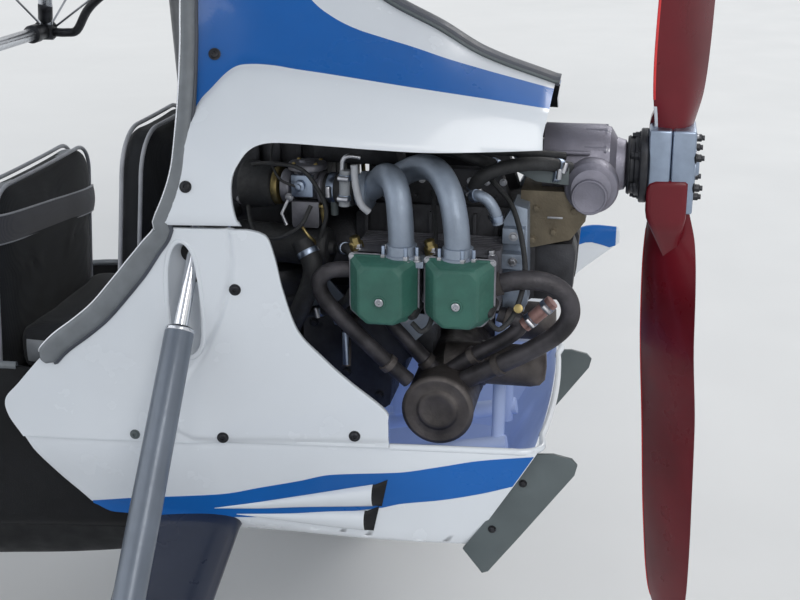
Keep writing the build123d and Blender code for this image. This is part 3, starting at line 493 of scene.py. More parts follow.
def make_studio():
    bpy.context.scene.view_settings.view_transform = "Standard"
    world = bpy.data.worlds.new("studio")
    bpy.context.scene.world = world
    world.use_nodes = True
    tree = world.node_tree
    lit = tree.nodes["Background"]
    lit.inputs["Color"].default_value = (0.88, 0.94, 1.0, 1)
    lit.inputs["Strength"].default_value = 0.60
    pale = tree.nodes.new("ShaderNodeBackground")
    pale.inputs["Color"].default_value = (0.76, 0.77, 0.78, 1)
    pale.inputs["Strength"].default_value = 1.0
    mix = pale_to_camera(tree, lit, pale)
    tree.links.new(mix.outputs[0], tree.nodes["World Output"].inputs["Surface"])
    half = 60.0
    floor = bpy.data.meshes.new("floor")
    floor.from_pydata([(-half, -half, 0), (half, -half, 0), (half, half, 0), (-half, half, 0)], [], [(0, 1, 2, 3)])
    plane = bpy.data.objects.new("floor", floor)
    bpy.context.collection.objects.link(plane)
    floor.materials.append(surface("pale_floor", (0.66, 0.66, 0.66), 0.8, tint=0.015, grain=0.6))
    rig.stage(plane)
    soft_lamp("key", (-2.2, 5.0, 4.2), 38, 1.40, (1.0, 0.98, 0.95))
    soft_lamp("fill", (5.0, 3.0, 3.0), 60, 0.55, (0.92, 0.96, 1.0))
    soft_lamp("back", (-1.8, -4.5, 4.0), 30, 1.15, (1.0, 0.99, 0.97))
# Mesh kit

class Kit:
    """Gathers shapes and their finishes, and makes one piece of them."""

    def __init__(self):
        self.points, self.faces, self.keys = [], [], []

    def add(self, points, faces, key):
        start = len(self.points)
        self.points += [Vector(p) for p in points]
        self.faces += [tuple(start + i for i in face) for face in faces]
        self.keys += [key] * len(faces)

    def grid(self, rows, key, closed=False, ring=False):
        """Quads over rows of points. A key may be a list, one for each strip between two rows.

        closed joins each row's end to its start, and ring joins the last row to the first.
        """
        rows = [list(row) for row in rows]
        wide = len(rows[0])
        flat = [p for row in rows for p in row]
        start = len(self.points)
        self.points += [Vector(p) for p in flat]
        for i in range(len(rows) if ring else len(rows) - 1):
            finish = key[i] if isinstance(key, list) else key
            below = (i + 1) % len(rows)
            for j in range(wide if closed else wide - 1):
                k = (j + 1) % wide
                self.faces.append((start + i * wide + j, start + i * wide + k,
                                   start + below * wide + k, start + below * wide + j))
                self.keys.append(finish)

    def fan(self, ring, key, flip=False):
        """A flat cap over a ring of points."""
        order = list(range(len(ring)))
        self.add(ring, [tuple(reversed(order)) if flip else tuple(order)], key)

    def tube(self, path, radius, key, sides=16, caps=True, squash=1.0, lie=None):
        """A tube along points. The radius is one number or a function of the share of its length.

        squash flattens it, and lie is the direction its wide side keeps to.
        """
        path = [Vector(p) for p in path]
        run = [0.0]
        for a, b in zip(path, path[1:]):
            run.append(run[-1] + (b - a).length)
        tangents = [(path[min(i + 1, len(path) - 1)] - path[max(i - 1, 0)]).normalized() for i in range(len(path))]
        side = Vector(lie) if lie else tangents[0].orthogonal()
        rows = []
        for i, (p, t) in enumerate(zip(path, tangents)):
            side = Vector(lie) if lie else side
            side = (side - t * side.dot(t)).normalized()
            up = t.cross(side)
            r = radius(run[i] / run[-1]) if callable(radius) else radius
            rows.append([p + r * (math.cos(a) * side + squash * math.sin(a) * up)
                         for a in steps(0, 2 * math.pi, sides + 1)[:-1]])
        self.grid(rows, key, closed=True)
        if caps:
            self.fan(rows[0], key, flip=False)
            self.fan(rows[-1], key, flip=True)

    def lathe(self, profile, origin, axis, key, sides=32):
        """Turns a profile of (radius, distance along the axis) points. A key may be a list, one for each run."""
        turn = Matrix.Translation(Vector(origin)) @ turned(axis)
        rows = [[turn @ Vector((r * math.cos(a), r * math.sin(a), h))
                 for a in steps(0, 2 * math.pi, sides + 1)[:-1]] for r, h in profile]
        self.grid([list(reversed(row)) for row in rows], key, closed=True)
        first = key[0] if isinstance(key, list) else key
        last = key[-1] if isinstance(key, list) else key
        if profile[0][0] > 1e-6:
            self.fan(rows[0], first, flip=True)
        if profile[-1][0] > 1e-6:
            self.fan(rows[-1], last)

    def prism(self, outline, origin, x_axis, y_axis, depth, key):
        """An outline of (x, y) points in a plane, made depth thick along the plane's normal."""
        origin, x_axis, y_axis = Vector(origin), Vector(x_axis).normalized(), Vector(y_axis).normalized()
        normal = x_axis.cross(y_axis) * depth
        low = [origin + x * x_axis + y * y_axis for x, y in outline]
        high = [p + normal for p in low]
        count = len(low)
        faces = [tuple(reversed(range(count))), tuple(range(count, 2 * count))]
        faces += [(i, (i + 1) % count, count + (i + 1) % count, count + i) for i in range(count)]
        if depth < 0:
            faces = [tuple(reversed(face)) for face in faces]
        self.add(low + high, faces, key)

    def side(self, outline, y_low, y_high, key):
        """A prism across the object, whose side view is (station, height) points."""
        self.prism(outline, at(0, y_high, 0), (1, 0, 0), (0, 0, 1), y_high - y_low, key)

    def box(self, low, high, key):
        """A block between two (station, y, z) corners."""
        outline = [(low[0], low[2]), (high[0], low[2]), (high[0], high[2]), (low[0], high[2])]
        self.side(outline, low[1], high[1], key)

    def screw(self, place, axis, key, radius=0.0065, height=0.004, sides=18):
        """A round-headed screw with a washer, standing on a surface."""
        r, h = radius, height
        profile = [(r * 1.35, 0), (r * 1.35, h * 0.25), (r, h * 0.3), (r * 0.98, h * 0.8), (r * 0.8, h),
                   (r * 0.45, h), (r * 0.40, h * 0.55), (0, h * 0.55)]
        self.lathe(profile, place, axis, key, sides)

    def hex(self, place, axis, key, radius=0.006, height=0.006):
        """A hexagon head with a washer."""
        r, h = radius, height
        self.lathe([(r * 1.35, 0), (r * 1.35, h * 0.2), (r * 1.3, h * 0.22)], place, axis, key, 20)
        self.lathe([(r, h * 0.2), (r, h * 0.9), (r * 0.86, h), (0, h)], place, axis, key, 6)

    def band(self, place, axis, radius, key, wide=0.010, screw="steel"):
        """A hose clamp round a pipe, with its worm screw."""
        r, w = radius, wide / 2
        profile = [(r, -w), (r + 0.0012, -w), (r + 0.0012, w), (r, w)]
        self.lathe(profile, place, axis, key, 28)
        turn = turned(axis)
        out = (turn @ Vector((1, 0, 0))).normalized()
        along = (turn @ Vector((0, 1, 0))).normalized()
        here = Vector(place) + out * (r + 0.004)
        self.lathe([(0.0045, -0.008), (0.0045, 0.006), (0.0038, 0.0085), (0, 0.0085)], here, along, screw, 8)

    def mirror(self):
        """Adds the same shapes on the other side."""
        count = len(self.points)
        self.points += [Vector((p.x, -p.y, p.z)) for p in self.points]
        faces = [tuple(count + i for i in reversed(face)) for face in self.faces]
        self.faces += faces
        self.keys += self.keys[:]
        return self

    def move(self, matrix):
        self.points = [matrix @ p for p in self.points]
        return self

    def join(self, other):
        self.add(other.points, other.faces, None)
        self.keys[-len(other.keys):] = other.keys
        return self

    def make(self, name, body, bevel=0.0, angle=32, thick=0.0, inner=None, replaces=(), slot=None, weld=0.0,
             segments=2, cutters=()):
        """Makes the piece: walls, cuts and rounded edges are applied, and flat shading is kept at sharp edges."""
        mesh = bpy.data.meshes.new(name)
        mesh.from_pydata(self.points, [], self.faces)
        names = []
        for key in self.keys:
            if key not in names:
                names.append(key)
        if thick and inner:
            names = [n for key in names for n in (key, inner)]
        for key in names:
            mesh.materials.append(M[key])
        for polygon, key in zip(mesh.polygons, self.keys):
            polygon.material_index = names.index(key)
        obj = bpy.data.objects.new(name, mesh)
        bpy.context.collection.objects.link(obj)
        if weld:
            obj.modifiers.new("weld", "WELD").merge_threshold = weld
        if thick:
            wall = obj.modifiers.new("wall", "SOLIDIFY")
            wall.thickness = thick
            wall.offset = -1
            if inner:
                wall.material_offset = 1
        for cutter in cutters:
            cut = obj.modifiers.new("cut", "BOOLEAN")
            cut.object = cutter
            cut.solver = "EXACT"
        if bevel:
            soften = obj.modifiers.new("soften", "BEVEL")
            soften.width = bevel
            soften.segments = segments
            soften.limit_method = "ANGLE"
            soften.angle_limit = math.radians(angle)
        graph = bpy.context.evaluated_depsgraph_get()
        final = bpy.data.meshes.new_from_object(obj.evaluated_get(graph))
        obj.modifiers.clear()
        obj.data = final
        final.name = name
        final.polygons.foreach_set("use_smooth", [True] * len(final.polygons))
        final.set_sharp_from_angle(angle=math.radians(angle))
        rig.ride(obj, body)
        if replaces:
            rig.replaces(obj, *replaces)
        if slot:
            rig.slot(obj, slot)
        for cutter in cutters:
            bpy.data.objects.remove(cutter)
        return obj

    def cutter(self):
        """A hidden object to cut with."""
        mesh = bpy.data.meshes.new("cutter")
        mesh.from_pydata(self.points, [], self.faces)
        obj = bpy.data.objects.new("cutter", mesh)
        bpy.context.collection.objects.link(obj)
        return obj


# Rear body's outer surface: half-widths and heights against the station

CHINE_Y = curve_of([(0.15, 0.215), (0.40, 0.250), (0.62, 0.275), (0.735, 0.285), (1.04, 0.300)])
CHINE_Z = curve_of([(0.15, 0.520), (0.40, 0.530), (0.62, 0.556), (0.735, 0.566), (1.04, 0.580)])
RIM_Y = curve_of([(0.15, 0.252), (0.40, 0.272), (0.62, 0.295), (0.735, 0.312), (1.04, 0.335)])
WAIST_Y = curve_of([(0.15, 0.205), (0.40, 0.262), (0.62, 0.299), (0.735, 0.312), (1.04, 0.335)])
COWL_Y = curve_of([(0.15, 0.160), (0.40, 0.222), (0.62, 0.270), (0.735, 0.286)])
SHOULDER_Y = curve_of([(0.18, 0.140), (0.374, 0.175), (0.549, 0.198), (0.62, 0.205), (0.735, 0.218)])
SHOULDER_Z = curve_of([(0.18, 1.214), (0.374, 1.247), (0.549, 1.274), (0.62, 1.283), (0.68, 1.31), (0.735, 1.34)])
RIDGE_Z = curve_of([(0.18, 1.236), (0.30, 1.278), (0.37, 1.318), (0.45, 1.358), (0.50, 1.395), (0.55, 1.44),
                    (0.60, 1.50), (0.64, 1.565), (0.68, 1.66), (0.705, 1.76), (0.72, 1.86), (0.735, 1.92)])
RIM_Z = 0.700
WAIST_Z = 1.053
COWL_Z = 1.160
RIDGE_HALF = 0.010
CROWN = 0.3  # how much the panel above the shoulder bulges


def half_width(s, z):
    """How far out the body's surface is at a station and a height."""
    low, high = SHOULDER_Z(s), RIDGE_Z(s)
    if z <= low:
        return curve_of([(CHINE_Z(s), CHINE_Y(s)), (RIM_Z, RIM_Y(s)), (WAIST_Z, WAIST_Y(s)), (COWL_Z, COWL_Y(s)),
                         (low, SHOULDER_Y(s))])(z)
    share = min((z - low) / (high - low), 1.0)
    t = ((1 + CROWN) - math.sqrt((1 + CROWN) ** 2 - 4 * CROWN * share)) / (2 * CROWN)
    return SHOULDER_Y(s) * (1 - t) + RIDGE_HALF * t


def on_body(s, z, proud=0.0):
    return at(s, half_width(s, z) + proud, z)


def flat_path(points, per_run):
    """A smooth (s, z) line through points, as pairs."""
    return [(p.x, p.y) for p in smooth_path([(s, z, 0) for s, z in points], per_run)]


def body_normal(s, z):
    step = 0.004
    along = on_body(s + step, z) - on_body(s - step, z)
    up = on_body(s, z + step) - on_body(s, z - step)
    return up.cross(along).normalized()


# Upper fairing

# The lines that shape a side of the fairing, from the tail to the front edge: the stations of its foot and its
# ridge, and (station, height) points of the others
FAIRING_FOOT = [0.182, 0.30, 0.42, 0.51, 0.560, 0.590, 0.612, 0.634, 0.656, 0.676, 0.698, 0.719, 0.741]
FOOT_Z = 1.0565
FAIRING_SHOULDER = [(0.182, 1.216), (0.30, 1.236), (0.42, 1.255), (0.51, 1.269), (0.560, 1.276), (0.585, 1.280),
                    (0.604, 1.282), (0.625, 1.283), (0.645, 1.281), (0.661, 1.271), (0.680, 1.250), (0.694, 1.234),
                    (0.709, 1.205)]
# The edge of the engine bay's opening, from the tail forward and down to the seam
OPENING = [(0.150, 1.163), (0.250, 1.161), (0.350, 1.161), (0.430, 1.166), (0.500, 1.172), (0.566, 1.177), (0.596, 1.175),
           (0.615, 1.165), (0.628, 1.147), (0.635, 1.130), (0.636, 1.110), (0.633, 1.088), (0.627, 1.067), (0.618, 1.052)]
FAIRING_SWOOSH = [(0.182, 1.232), (0.297, 1.264), (0.388, 1.295), (0.440, 1.311), (0.484, 1.326), (0.521, 1.344),
                  (0.554, 1.368), (0.590, 1.41), (0.620, 1.46), (0.648, 1.53), (0.675, 1.63), (0.697, 1.76),
                  (0.712, 1.87)]
FAIRING_RIDGE = [0.182, 0.30, 0.40, 0.47, 0.53, 0.57, 0.60, 0.63, 0.655, 0.68, 0.70, 0.714, 0.722]
SHOULDER_STEP = [(0.0, 0.0), (0.004, 0.005), (0.010, 0.0095), (0.020, 0.0125), (0.034, 0.0135)]


def fairing_rows():
    """Rows of points from the bottom edge to the ridge, and the finish between each pair."""
    per_run = 7
    bottom = flat_path([(s, FOOT_Z) for s in FAIRING_FOOT], per_run)
    shoulder = flat_path(FAIRING_SHOULDER, per_run)
    swoosh = flat_path(FAIRING_SWOOSH, per_run)
    ridge = [(s, RIDGE_Z(s)) for s, _ in flat_path([(s, 0) for s in FAIRING_RIDGE], per_run)]
    steps_in = []
    for distance, proud in SHOULDER_STEP:
        row = []
        for i, (s, z) in enumerate(shoulder):
            before, after = shoulder[max(i - 1, 0)], shoulder[min(i + 1, len(shoulder) - 1)]
            along = Vector((after[0] - before[0], after[1] - before[1])).normalized()
            share = min(1.0, (len(shoulder) - 1 - i) / 10.0)
            inward = Vector((along.y, -along.x)) * share + Vector((0, -1)) * (1 - share)
            row.append((s + inward.x * distance, z + inward.y * distance, proud))
        steps_in.append(row)
    rows, finishes = [], []
    inner = steps_in[-1]
    for t in (0.0, 0.012, 0.05, 0.14, 0.26, 0.38, 0.50, 0.62, 0.74, 0.86):
        proud = 0.0085 + 0.004 * min(t / 0.05, 1.0) + 0.001 * t
        rows.append([on_body(b[0] + (s[0] - b[0]) * t, b[1] + (s[1] - b[1]) * t, proud if t else 0.004)
                     for b, s in zip(bottom, inner)])
        finishes.append("white")
    for row in reversed(steps_in):
        rows.append([on_body(*point) for point in row])
        finishes.append("white")
    finishes[-1] = "blue"
    blue_rows, leaf_rows = 9, 6
    for i in range(1, blue_rows + 1):
        t = i / blue_rows
        rows.append([on_body(a[0] + (b[0] - a[0]) * t, a[1] + (b[1] - a[1]) * t) for a, b in zip(shoulder, swoosh)])
        finishes.append("blue")
    finishes[-1] = "white"
    for i in range(1, leaf_rows + 1):
        t = i / leaf_rows
        rows.append([on_body(a[0] + (b[0] - a[0]) * t, a[1] + (b[1] - a[1]) * t) for a, b in zip(swoosh, ridge)])
        finishes.append("white")
    return rows, finishes[:-1]


def make_fairing():
    rows, finishes = fairing_rows()
    other = [[Vector((p.x, -p.y, p.z)) for p in row] for row in reversed(rows)]
    kit = Kit()
    whole = [list(reversed(row)) for row in rows + other]
    kit.grid(whole, finishes + ["white"] + finishes[::-1])
    opening = Kit()
    opening.side([(0.150, 1.030), (0.600, 1.030)] + flat_path(OPENING, 6)[::-1], -0.5, 0.5, "white")
    kit.make("upper_fairing_skin", "trike", bevel=0.0012, thick=0.007, inner="black", replaces=["upper_fairing"],
             slot="white_shell", angle=38, cutters=[opening.cutter()])
    strip = Kit()
    line = [at(s, 0, RIDGE_Z(s)) for s in steps(0.176, 0.722, 60)]
    rows = []
    for i, p in enumerate(line):
        along = (line[min(i + 1, 59)] - line[max(i - 1, 0)]).normalized()
        out = Vector((-along.z, 0, along.x))
        section = [(0.019, -0.004), (0.019, 0.004), (0.016, 0.009), (0.008, 0.0115), (0, 0.012)]
        section += [(-y, h) for y, h in section[-2::-1]]
        rows.append([p + Vector((0, y, 0)) + out * h for y, h in section])
    strip.grid(rows, "ridge", closed=True)
    strip.fan(rows[0], "ridge")
    strip.fan(rows[-1], "ridge", flip=True)
    for y in (0.0175, -0.0175):
        strip.tube([r[0 if y > 0 else -1] + Vector((0, 0, 0.006)) for r in rows], 0.0028, "fin", 8)
    strip.make("ridge_trim", "trike", angle=40, replaces=["ridge_strip"], slot="dark_trim")


# Side panels

PANEL_REAR = [(0.404, 0.702), (0.404, 0.745), (0.409, 0.766), (0.464, 0.812), (0.502, 0.848), (0.540, 0.892),
              (0.561, 0.956), (0.570, 1.000), (0.580, 1.036), (0.592, 1.047), (0.612, 1.052)]
PANEL_FRONT = [(0.985, 0.702), (1.006, 0.738), (1.008, 0.766), (0.985, 0.793), (0.945, 0.838), (0.905, 0.876),
               (0.858, 0.914), (0.818, 0.960), (0.790, 0.994), (0.764, 1.030), (0.745, 1.052)]
# The line of the raised middle of the panel
RAISED = [(0.640, 1.060), (0.636, 1.010), (0.640, 0.963), (0.658, 0.910), (0.686, 0.857), (0.719, 0.810),
          (0.735, 0.780), (0.740, 0.745), (0.732, 0.722), (0.709, 0.709), (0.660, 0.707), (0.404, 0.712)]
STRUT_SLOT = [(0.740, 0.935), (0.739, 0.985), (0.731, 1.018), (0.718, 1.032), (0.703, 1.026), (0.692, 1.000),
              (0.686, 0.950), (0.686, 0.885), (0.692, 0.858), (0.706, 0.846), (0.722, 0.852), (0.735, 0.880)]
RAISED_BY = 0.0045


def side_of(line, s, z):
    """Signed distance from a point to a line: positive on its right."""
    best, sign = 1e9, 1.0
    for (s0, z0), (s1, z1) in zip(line, line[1:]):
        ds, dz = s1 - s0, z1 - z0
        t = min(max(((s - s0) * ds + (z - z0) * dz) / (ds * ds + dz * dz), 0.0), 1.0)
        gap = math.hypot(s - s0 - t * ds, z - z0 - t * dz)
        if gap < best:
            best = gap
            sign = 1.0 if ds * (z - z0) - dz * (s - s0) < 0 else -1.0
    return best * sign


def panel_proud(s, z):
    """The panel stands over the tub, and its middle part stands over its border behind a soft step."""
    distance = side_of(RAISED, s, z)
    step = min(max((distance + 0.003) / 0.010, 0.0), 1.0)
    groove = math.exp(-((distance + 0.004) / 0.0035) ** 2)
    return 0.006 + RAISED_BY * (3 * step ** 2 - 2 * step ** 3) - 0.0022 * groove


def make_side_panels():
    rear, front = flat_path(PANEL_REAR, 9), flat_path(PANEL_FRONT, 9)
    columns = 110
    rows = []
    for (s0, z0), (s1, z1) in zip(rear, front):
        row = []
        for t in steps(0, 1, columns):
            s, z = s0 + (s1 - s0) * t, z0 + (z1 - z0) * t
            row.append(on_body(s, z, panel_proud(s, z)))
        rows.append(row)
    for name, turn in (("left", 1), ("right", -1)):
        slot = Kit()
        slot.side(flat_path(STRUT_SLOT + STRUT_SLOT[:1], 5)[:-1], 0.2, 0.45, "black")
        kit = Kit()
        kit.grid(list(reversed(rows)), "white")
        if turn < 0:
            for each in (slot, kit):
                each.points = [Vector((p.x, -p.y, p.z)) for p in each.points]
                each.faces = [tuple(reversed(face)) for face in each.faces]
        kit.make(f"side_panel_skin_{name}", "trike", thick=0.009, inner="inside", bevel=0.0016, angle=50,
                 replaces=[f"side_panel_{name}"], slot="white_shell", cutters=[slot.cutter()])
    lip = Kit()
    ring = [on_body(s, z, 0.0035) for s, z in flat_path(STRUT_SLOT + STRUT_SLOT[:1], 5)]
    lip.tube(ring[:-1] + ring[:1], 0.0042, "white", 10, caps=False)
    pocket = flat_path(STRUT_SLOT + STRUT_SLOT[:1], 5)[:-1]
    rings = []
    for share, deep in ((1.0, 0.0), (0.99, 0.012), (0.93, 0.024), (0.80, 0.034), (0.55, 0.041), (0.25, 0.044), (0.02, 0.045)):
        rings.append([on_body(0.7125 + (s - 0.7125) * share, 0.94 + (z - 0.94) * share, -deep) for s, z in pocket])
    lip.grid(rings, "white", closed=True)
    lip.fan(rings[-1], "white", flip=True)
    # Black rubber grommets at the pocket's top, whose black also stands for the dark hole that the rod goes into:
    # partly painted shade.
    lip.lathe([(0.0165, -0.020), (0.0165, 0.0), (0.0, 0.001)], on_body(0.708, 1.006, -0.026), body_normal(0.708, 1.006),
              "black", 28)
    lip.lathe([(0.010, -0.012), (0.010, 0.0), (0.0, 0.001)], on_body(0.694, 0.968, -0.020), body_normal(0.694, 0.968),
              "black", 20)
    for s, z in ((0.633, 0.959), (0.703, 1.115), (0.747, 0.712), (0.662, 0.714), (0.456, 0.722), (0.679, 1.298)):
        over = 0.013 if 1.06 < z < 1.25 else 0.001 if z > 1.25 else panel_proud(s, z) - 0.0005
        lip.screw(on_body(s, z, over), body_normal(s, z), "bolt", 0.0068, 0.0045)
    lip.screw(on_body(0.802, 0.714, 0.006), body_normal(0.802, 0.714), "fin", 0.006, 0.003)
    lip.mirror().make("panel_screws_and_slots", "trike", angle=40)


# Tub under the engine

TUB_REAR_RAKE = 0.58
TUB_FRONT = line_of([(0.49, 0.858), (0.556, 0.868), (0.572, 0.895), (0.619, 0.933), (0.674, 0.972), (0.700, 0.985)])
BELLY_Z = 0.502
BELLY_END = 0.690
STRIPE_TOP = curve_of([(0.177, 0.694), (0.262, 0.683), (0.325, 0.669), (0.388, 0.656), (0.411, 0.654),
                       (0.499, 0.647), (0.547, 0.634), (0.613, 0.618), (0.670, 0.604), (0.728, 0.597),
                       (0.822, 0.586), (0.893, 0.575)])
STRIPE_LOW = curve_of([(0.207, 0.640), (0.262, 0.622), (0.325, 0.607), (0.389, 0.597), (0.421, 0.588),
                       (0.634, 0.560), (0.783, 0.556), (0.859, 0.557), (0.893, 0.571)])
# Each spear: its upper and lower edge from the tip to the vent, and how far it stands out there
SPEARS = [
    (curve_of([(0.431, 0.633), (0.484, 0.621), (0.549, 0.606), (0.615, 0.591), (0.690, 0.5755)]),
     curve_of([(0.431, 0.592), (0.550, 0.584), (0.616, 0.578), (0.690, 0.5745)]), 0.431, 0.690, 0.016),
    (curve_of([(0.446, 0.582), (0.502, 0.578), (0.567, 0.571), (0.655, 0.5655)]),
     curve_of([(0.446, 0.544), (0.488, 0.547), (0.536, 0.552), (0.593, 0.558), (0.655, 0.5645)]), 0.446, 0.655, 0.013),
]
VENT_DEEP = 0.024


def tub_rear(z):
    return 0.174 + (RIM_Z - z) * TUB_REAR_RAKE


def make_tub():
    columns = 70
    rows = []
    for t in steps(0, 1, 12):
        row = []
        for u in steps(0, 1, columns):
            z = RIM_Z
            for _ in range(3):
                s = tub_rear(z) + (TUB_FRONT(z) - tub_rear(z)) * u
                z = RIM_Z + (CHINE_Z(s) - RIM_Z) * t
            row.append(on_body(s, z))
        rows.append(row)
    under = []
    for y_share, z_share in ((1.0, 0.0), (0.985, 0.20), (0.94, 0.45), (0.86, 0.70), (0.76, 0.88), (0.62, 0.97),
                             (0.35, 1.0), (0.0, 1.0)):
        row = []
        for u in steps(0, 1, 40):
            z = BELLY_Z
            for _ in range(3):
                s = tub_rear(z) + (BELLY_END - tub_rear(z)) * u
                z = CHINE_Z(s) + (BELLY_Z - CHINE_Z(s)) * z_share
            row.append(at(s, CHINE_Y(s) * y_share, z))
        under.append(row)
    wall = []
    for row in rows + under[1:]:
        edge = row[0]
        wall.append([Vector((edge.x - 0.010 * (1 - v * v), edge.y * v, edge.z)) for v in steps(1, -1, 25)])
    kit = Kit()
    kit.grid(rows, "white")
    kit.grid(under, "white")
    kit.mirror()
    kit.grid([list(reversed(row)) for row in wall], "white")
    # The tub's inner wall takes the lining's pale blue glow: painted light.
    kit.make("tub_skin", "trike", thick=0.007, inner="painted_glow_lining", weld=0.0008, bevel=0.0012, angle=50,
             replaces=["rear_tub"], slot="white_shell")
    trim = Kit()
    rim_line = [at(s, half_width(s, RIM_Z) - 0.003, RIM_Z) for s in steps(0.404, 0.196, 14)]
    corner = [at(0.178, 0.243, RIM_Z), at(0.168, 0.225, RIM_Z)]
    back = [at(0.164 + 0.010 * v * v, 0.21 * v, RIM_Z) for v in steps(0.9, 0, 8)]
    half = rim_line + corner + back
    whole = half + [Vector((p.x, -p.y, p.z)) for p in half[-2::-1]]
    trim.tube(smooth_path(whole, 3), 0.0055, "white", 12)
    trim.make("tub_rim", "trike", angle=60, slot="white_shell")


def make_stripes():
    kit = Kit()
    rows = []
    for t in steps(0, 1, 7):
        row = []
        for u in steps(0, 1, 90):
            z = STRIPE_TOP(0.2)
            for _ in range(3):
                s = tub_rear(z) + 0.0015 + (0.893 - tub_rear(z)) * u
                z = STRIPE_LOW(s) + (STRIPE_TOP(s) - STRIPE_LOW(s)) * t
            row.append(on_body(s, z, 0.0008))
        rows.append(row)
    kit.grid(list(reversed(rows)), "blue")
    kit.mirror().make("tub_stripes", "trike", thick=0.0014, angle=60, slot="blue_shell")
    spear = Kit()
    for top, low, s_end, s_tip, stands in SPEARS:
        rows, vent = [], []
        for t in steps(0, 1, 13):
            shape = math.sin(math.pi * t) ** 0.55
            line = []
            for s in steps(s_end, s_tip, 50):
                share = (s_tip - s) / (s_tip - s_end)
                line.append(on_body(s, low(s) + (top(s) - low(s)) * t, 0.0012 + stands * share ** 1.2 * shape))
            rows.append(line)
            s_back = s_end - VENT_DEEP * (0.55 + 0.45 * t)
            vent.append([line[0], on_body(s_end - 0.004, low(s_end) + (top(s_end) - low(s_end)) * t,
                                          0.001 + stands * 0.55 * shape),
                         on_body(s_back, low(s_end) + (top(s_end) - low(s_end)) * t + 0.010 * t, 0.0016)])
        spear.grid(list(reversed(rows)), "white")
        # Each spear's vent face is black: painted shade for the dark opening behind it.
        spear.grid(vent, "black")
    spear.mirror().make("tub_spears", "trike", angle=50, slot="white_shell")


FIN_OUTLINE = [(0.176, 0.691), (0.150, 0.693), (0.121, 0.687), (0.112, 0.677), (0.116, 0.660), (0.198, 0.546),
               (0.248, 0.478), (0.258, 0.474), (0.264, 0.482), (0.290, 0.515), (0.262, 0.556)]


def make_fins():
    kit = Kit()
    kit.side(FIN_OUTLINE, 0.233, 0.239, "fin")
    for s, z in ((0.196, 0.640), (0.243, 0.555)):
        kit.hex(at(s, 0.239, z), (0, 1, 0), "bolt", 0.005, 0.004)
    kit.mirror().make("tail_fin_plates", "trike", bevel=0.002, angle=40, replaces=["tail_fins"], slot="grey_trim")


# Grey edge trim along the body's front edge

EDGE_LINE = [(0.945, 0.840), (0.931, 0.857), (0.913, 0.874), (0.880, 0.899), (0.850, 0.925), (0.820, 0.959),
             (0.791, 0.994), (0.766, 1.027), (0.748, 1.050), (0.730, 1.088), (0.719, 1.125), (0.7145, 1.164),
             (0.713, 1.234), (0.716, 1.304), (0.720, 1.375), (0.723, 1.50), (0.725, 1.65), (0.726, 1.78),
             (0.727, 1.88)]
EDGE_HALF = line_of([(0.84, 0.0165), (0.99, 0.0165), (1.06, 0.0115), (1.9, 0.0105)])


def make_edge_trim():
    kit = Kit()
    line = [(s - 0.006, z - 0.006) if z < 1.06 else (s, z) for s, z in flat_path(EDGE_LINE, 6)]
    places = [on_body(s, z, 0.006) for s, z in line]
    rows, bead, shade_line = [], [], []
    for i, ((s, z), p) in enumerate(zip(line, places)):
        along = (places[min(i + 1, len(places) - 1)] - places[max(i - 1, 0)]).normalized()
        out = body_normal(min(s, 0.732) if z > 1.1 else s, z)
        side = along.cross(out).normalized()
        half = EDGE_HALF(z) * min(1.0, 0.45 + 0.2 * i)
        row = []
        for a in steps(0, 2 * math.pi, 21)[:-1]:
            c, d = math.cos(a), math.sin(a)
            row.append(p + side * half * math.copysign(abs(c) ** 0.7, c) + out * 0.0075 * math.copysign(abs(d) ** 0.8, d))
        rows.append(row)
        forward = side if side.x > 0 else -side
        bead.append(p + forward * half + out * 0.001)
        shade_line.append(p - forward * (half + 0.0004) - out * 0.0005)
    kit.grid(rows, "edge", closed=True)
    kit.fan(rows[0], "edge")
    kit.fan(rows[-1], "edge", flip=True)
    kit.tube(bead[2:], 0.0019, "polished", 8)
    # The dark line along the trim's rear edge is painted shade for the rounded trim's darker lower side.
    kit.tube(shade_line[2:], 0.0042, "ridge", 10)
    kit.mirror().make("edge_trim", "trike", angle=50, replaces=["edge_tubes"], slot="grey_tube")


# Engine

CYLINDER_S = (0.416, 0.300)
COVER_Z = 0.956
COVER_BASE_Y = 0.246
COVER_FACE_Y = 0.288


def cover_ring(s_mid, y, half, top, bottom, cut_low, cut_top):
    """The outline of a valve cover at one depth: cut corners, wider cuts below."""
    shape = [(half, top - cut_top), (half - cut_top, top), (-half + cut_top, top), (-half, top - cut_top),
             (-half, bottom + cut_low * 0.9), (-half + cut_low, bottom), (half - cut_low, bottom),
             (half, bottom + cut_low * 0.9)]
    ring = []
    for i, (a, b) in enumerate(shape):
        before, after = shape[i - 1], shape[(i + 1) % len(shape)]
        for share, (c, d) in ((0.22, before), (0.07, before), (0.07, after), (0.22, after)):
            ring.append(at(s_mid + a + (c - a) * share, y, COVER_Z + b + (d - b) * share))
    return ring


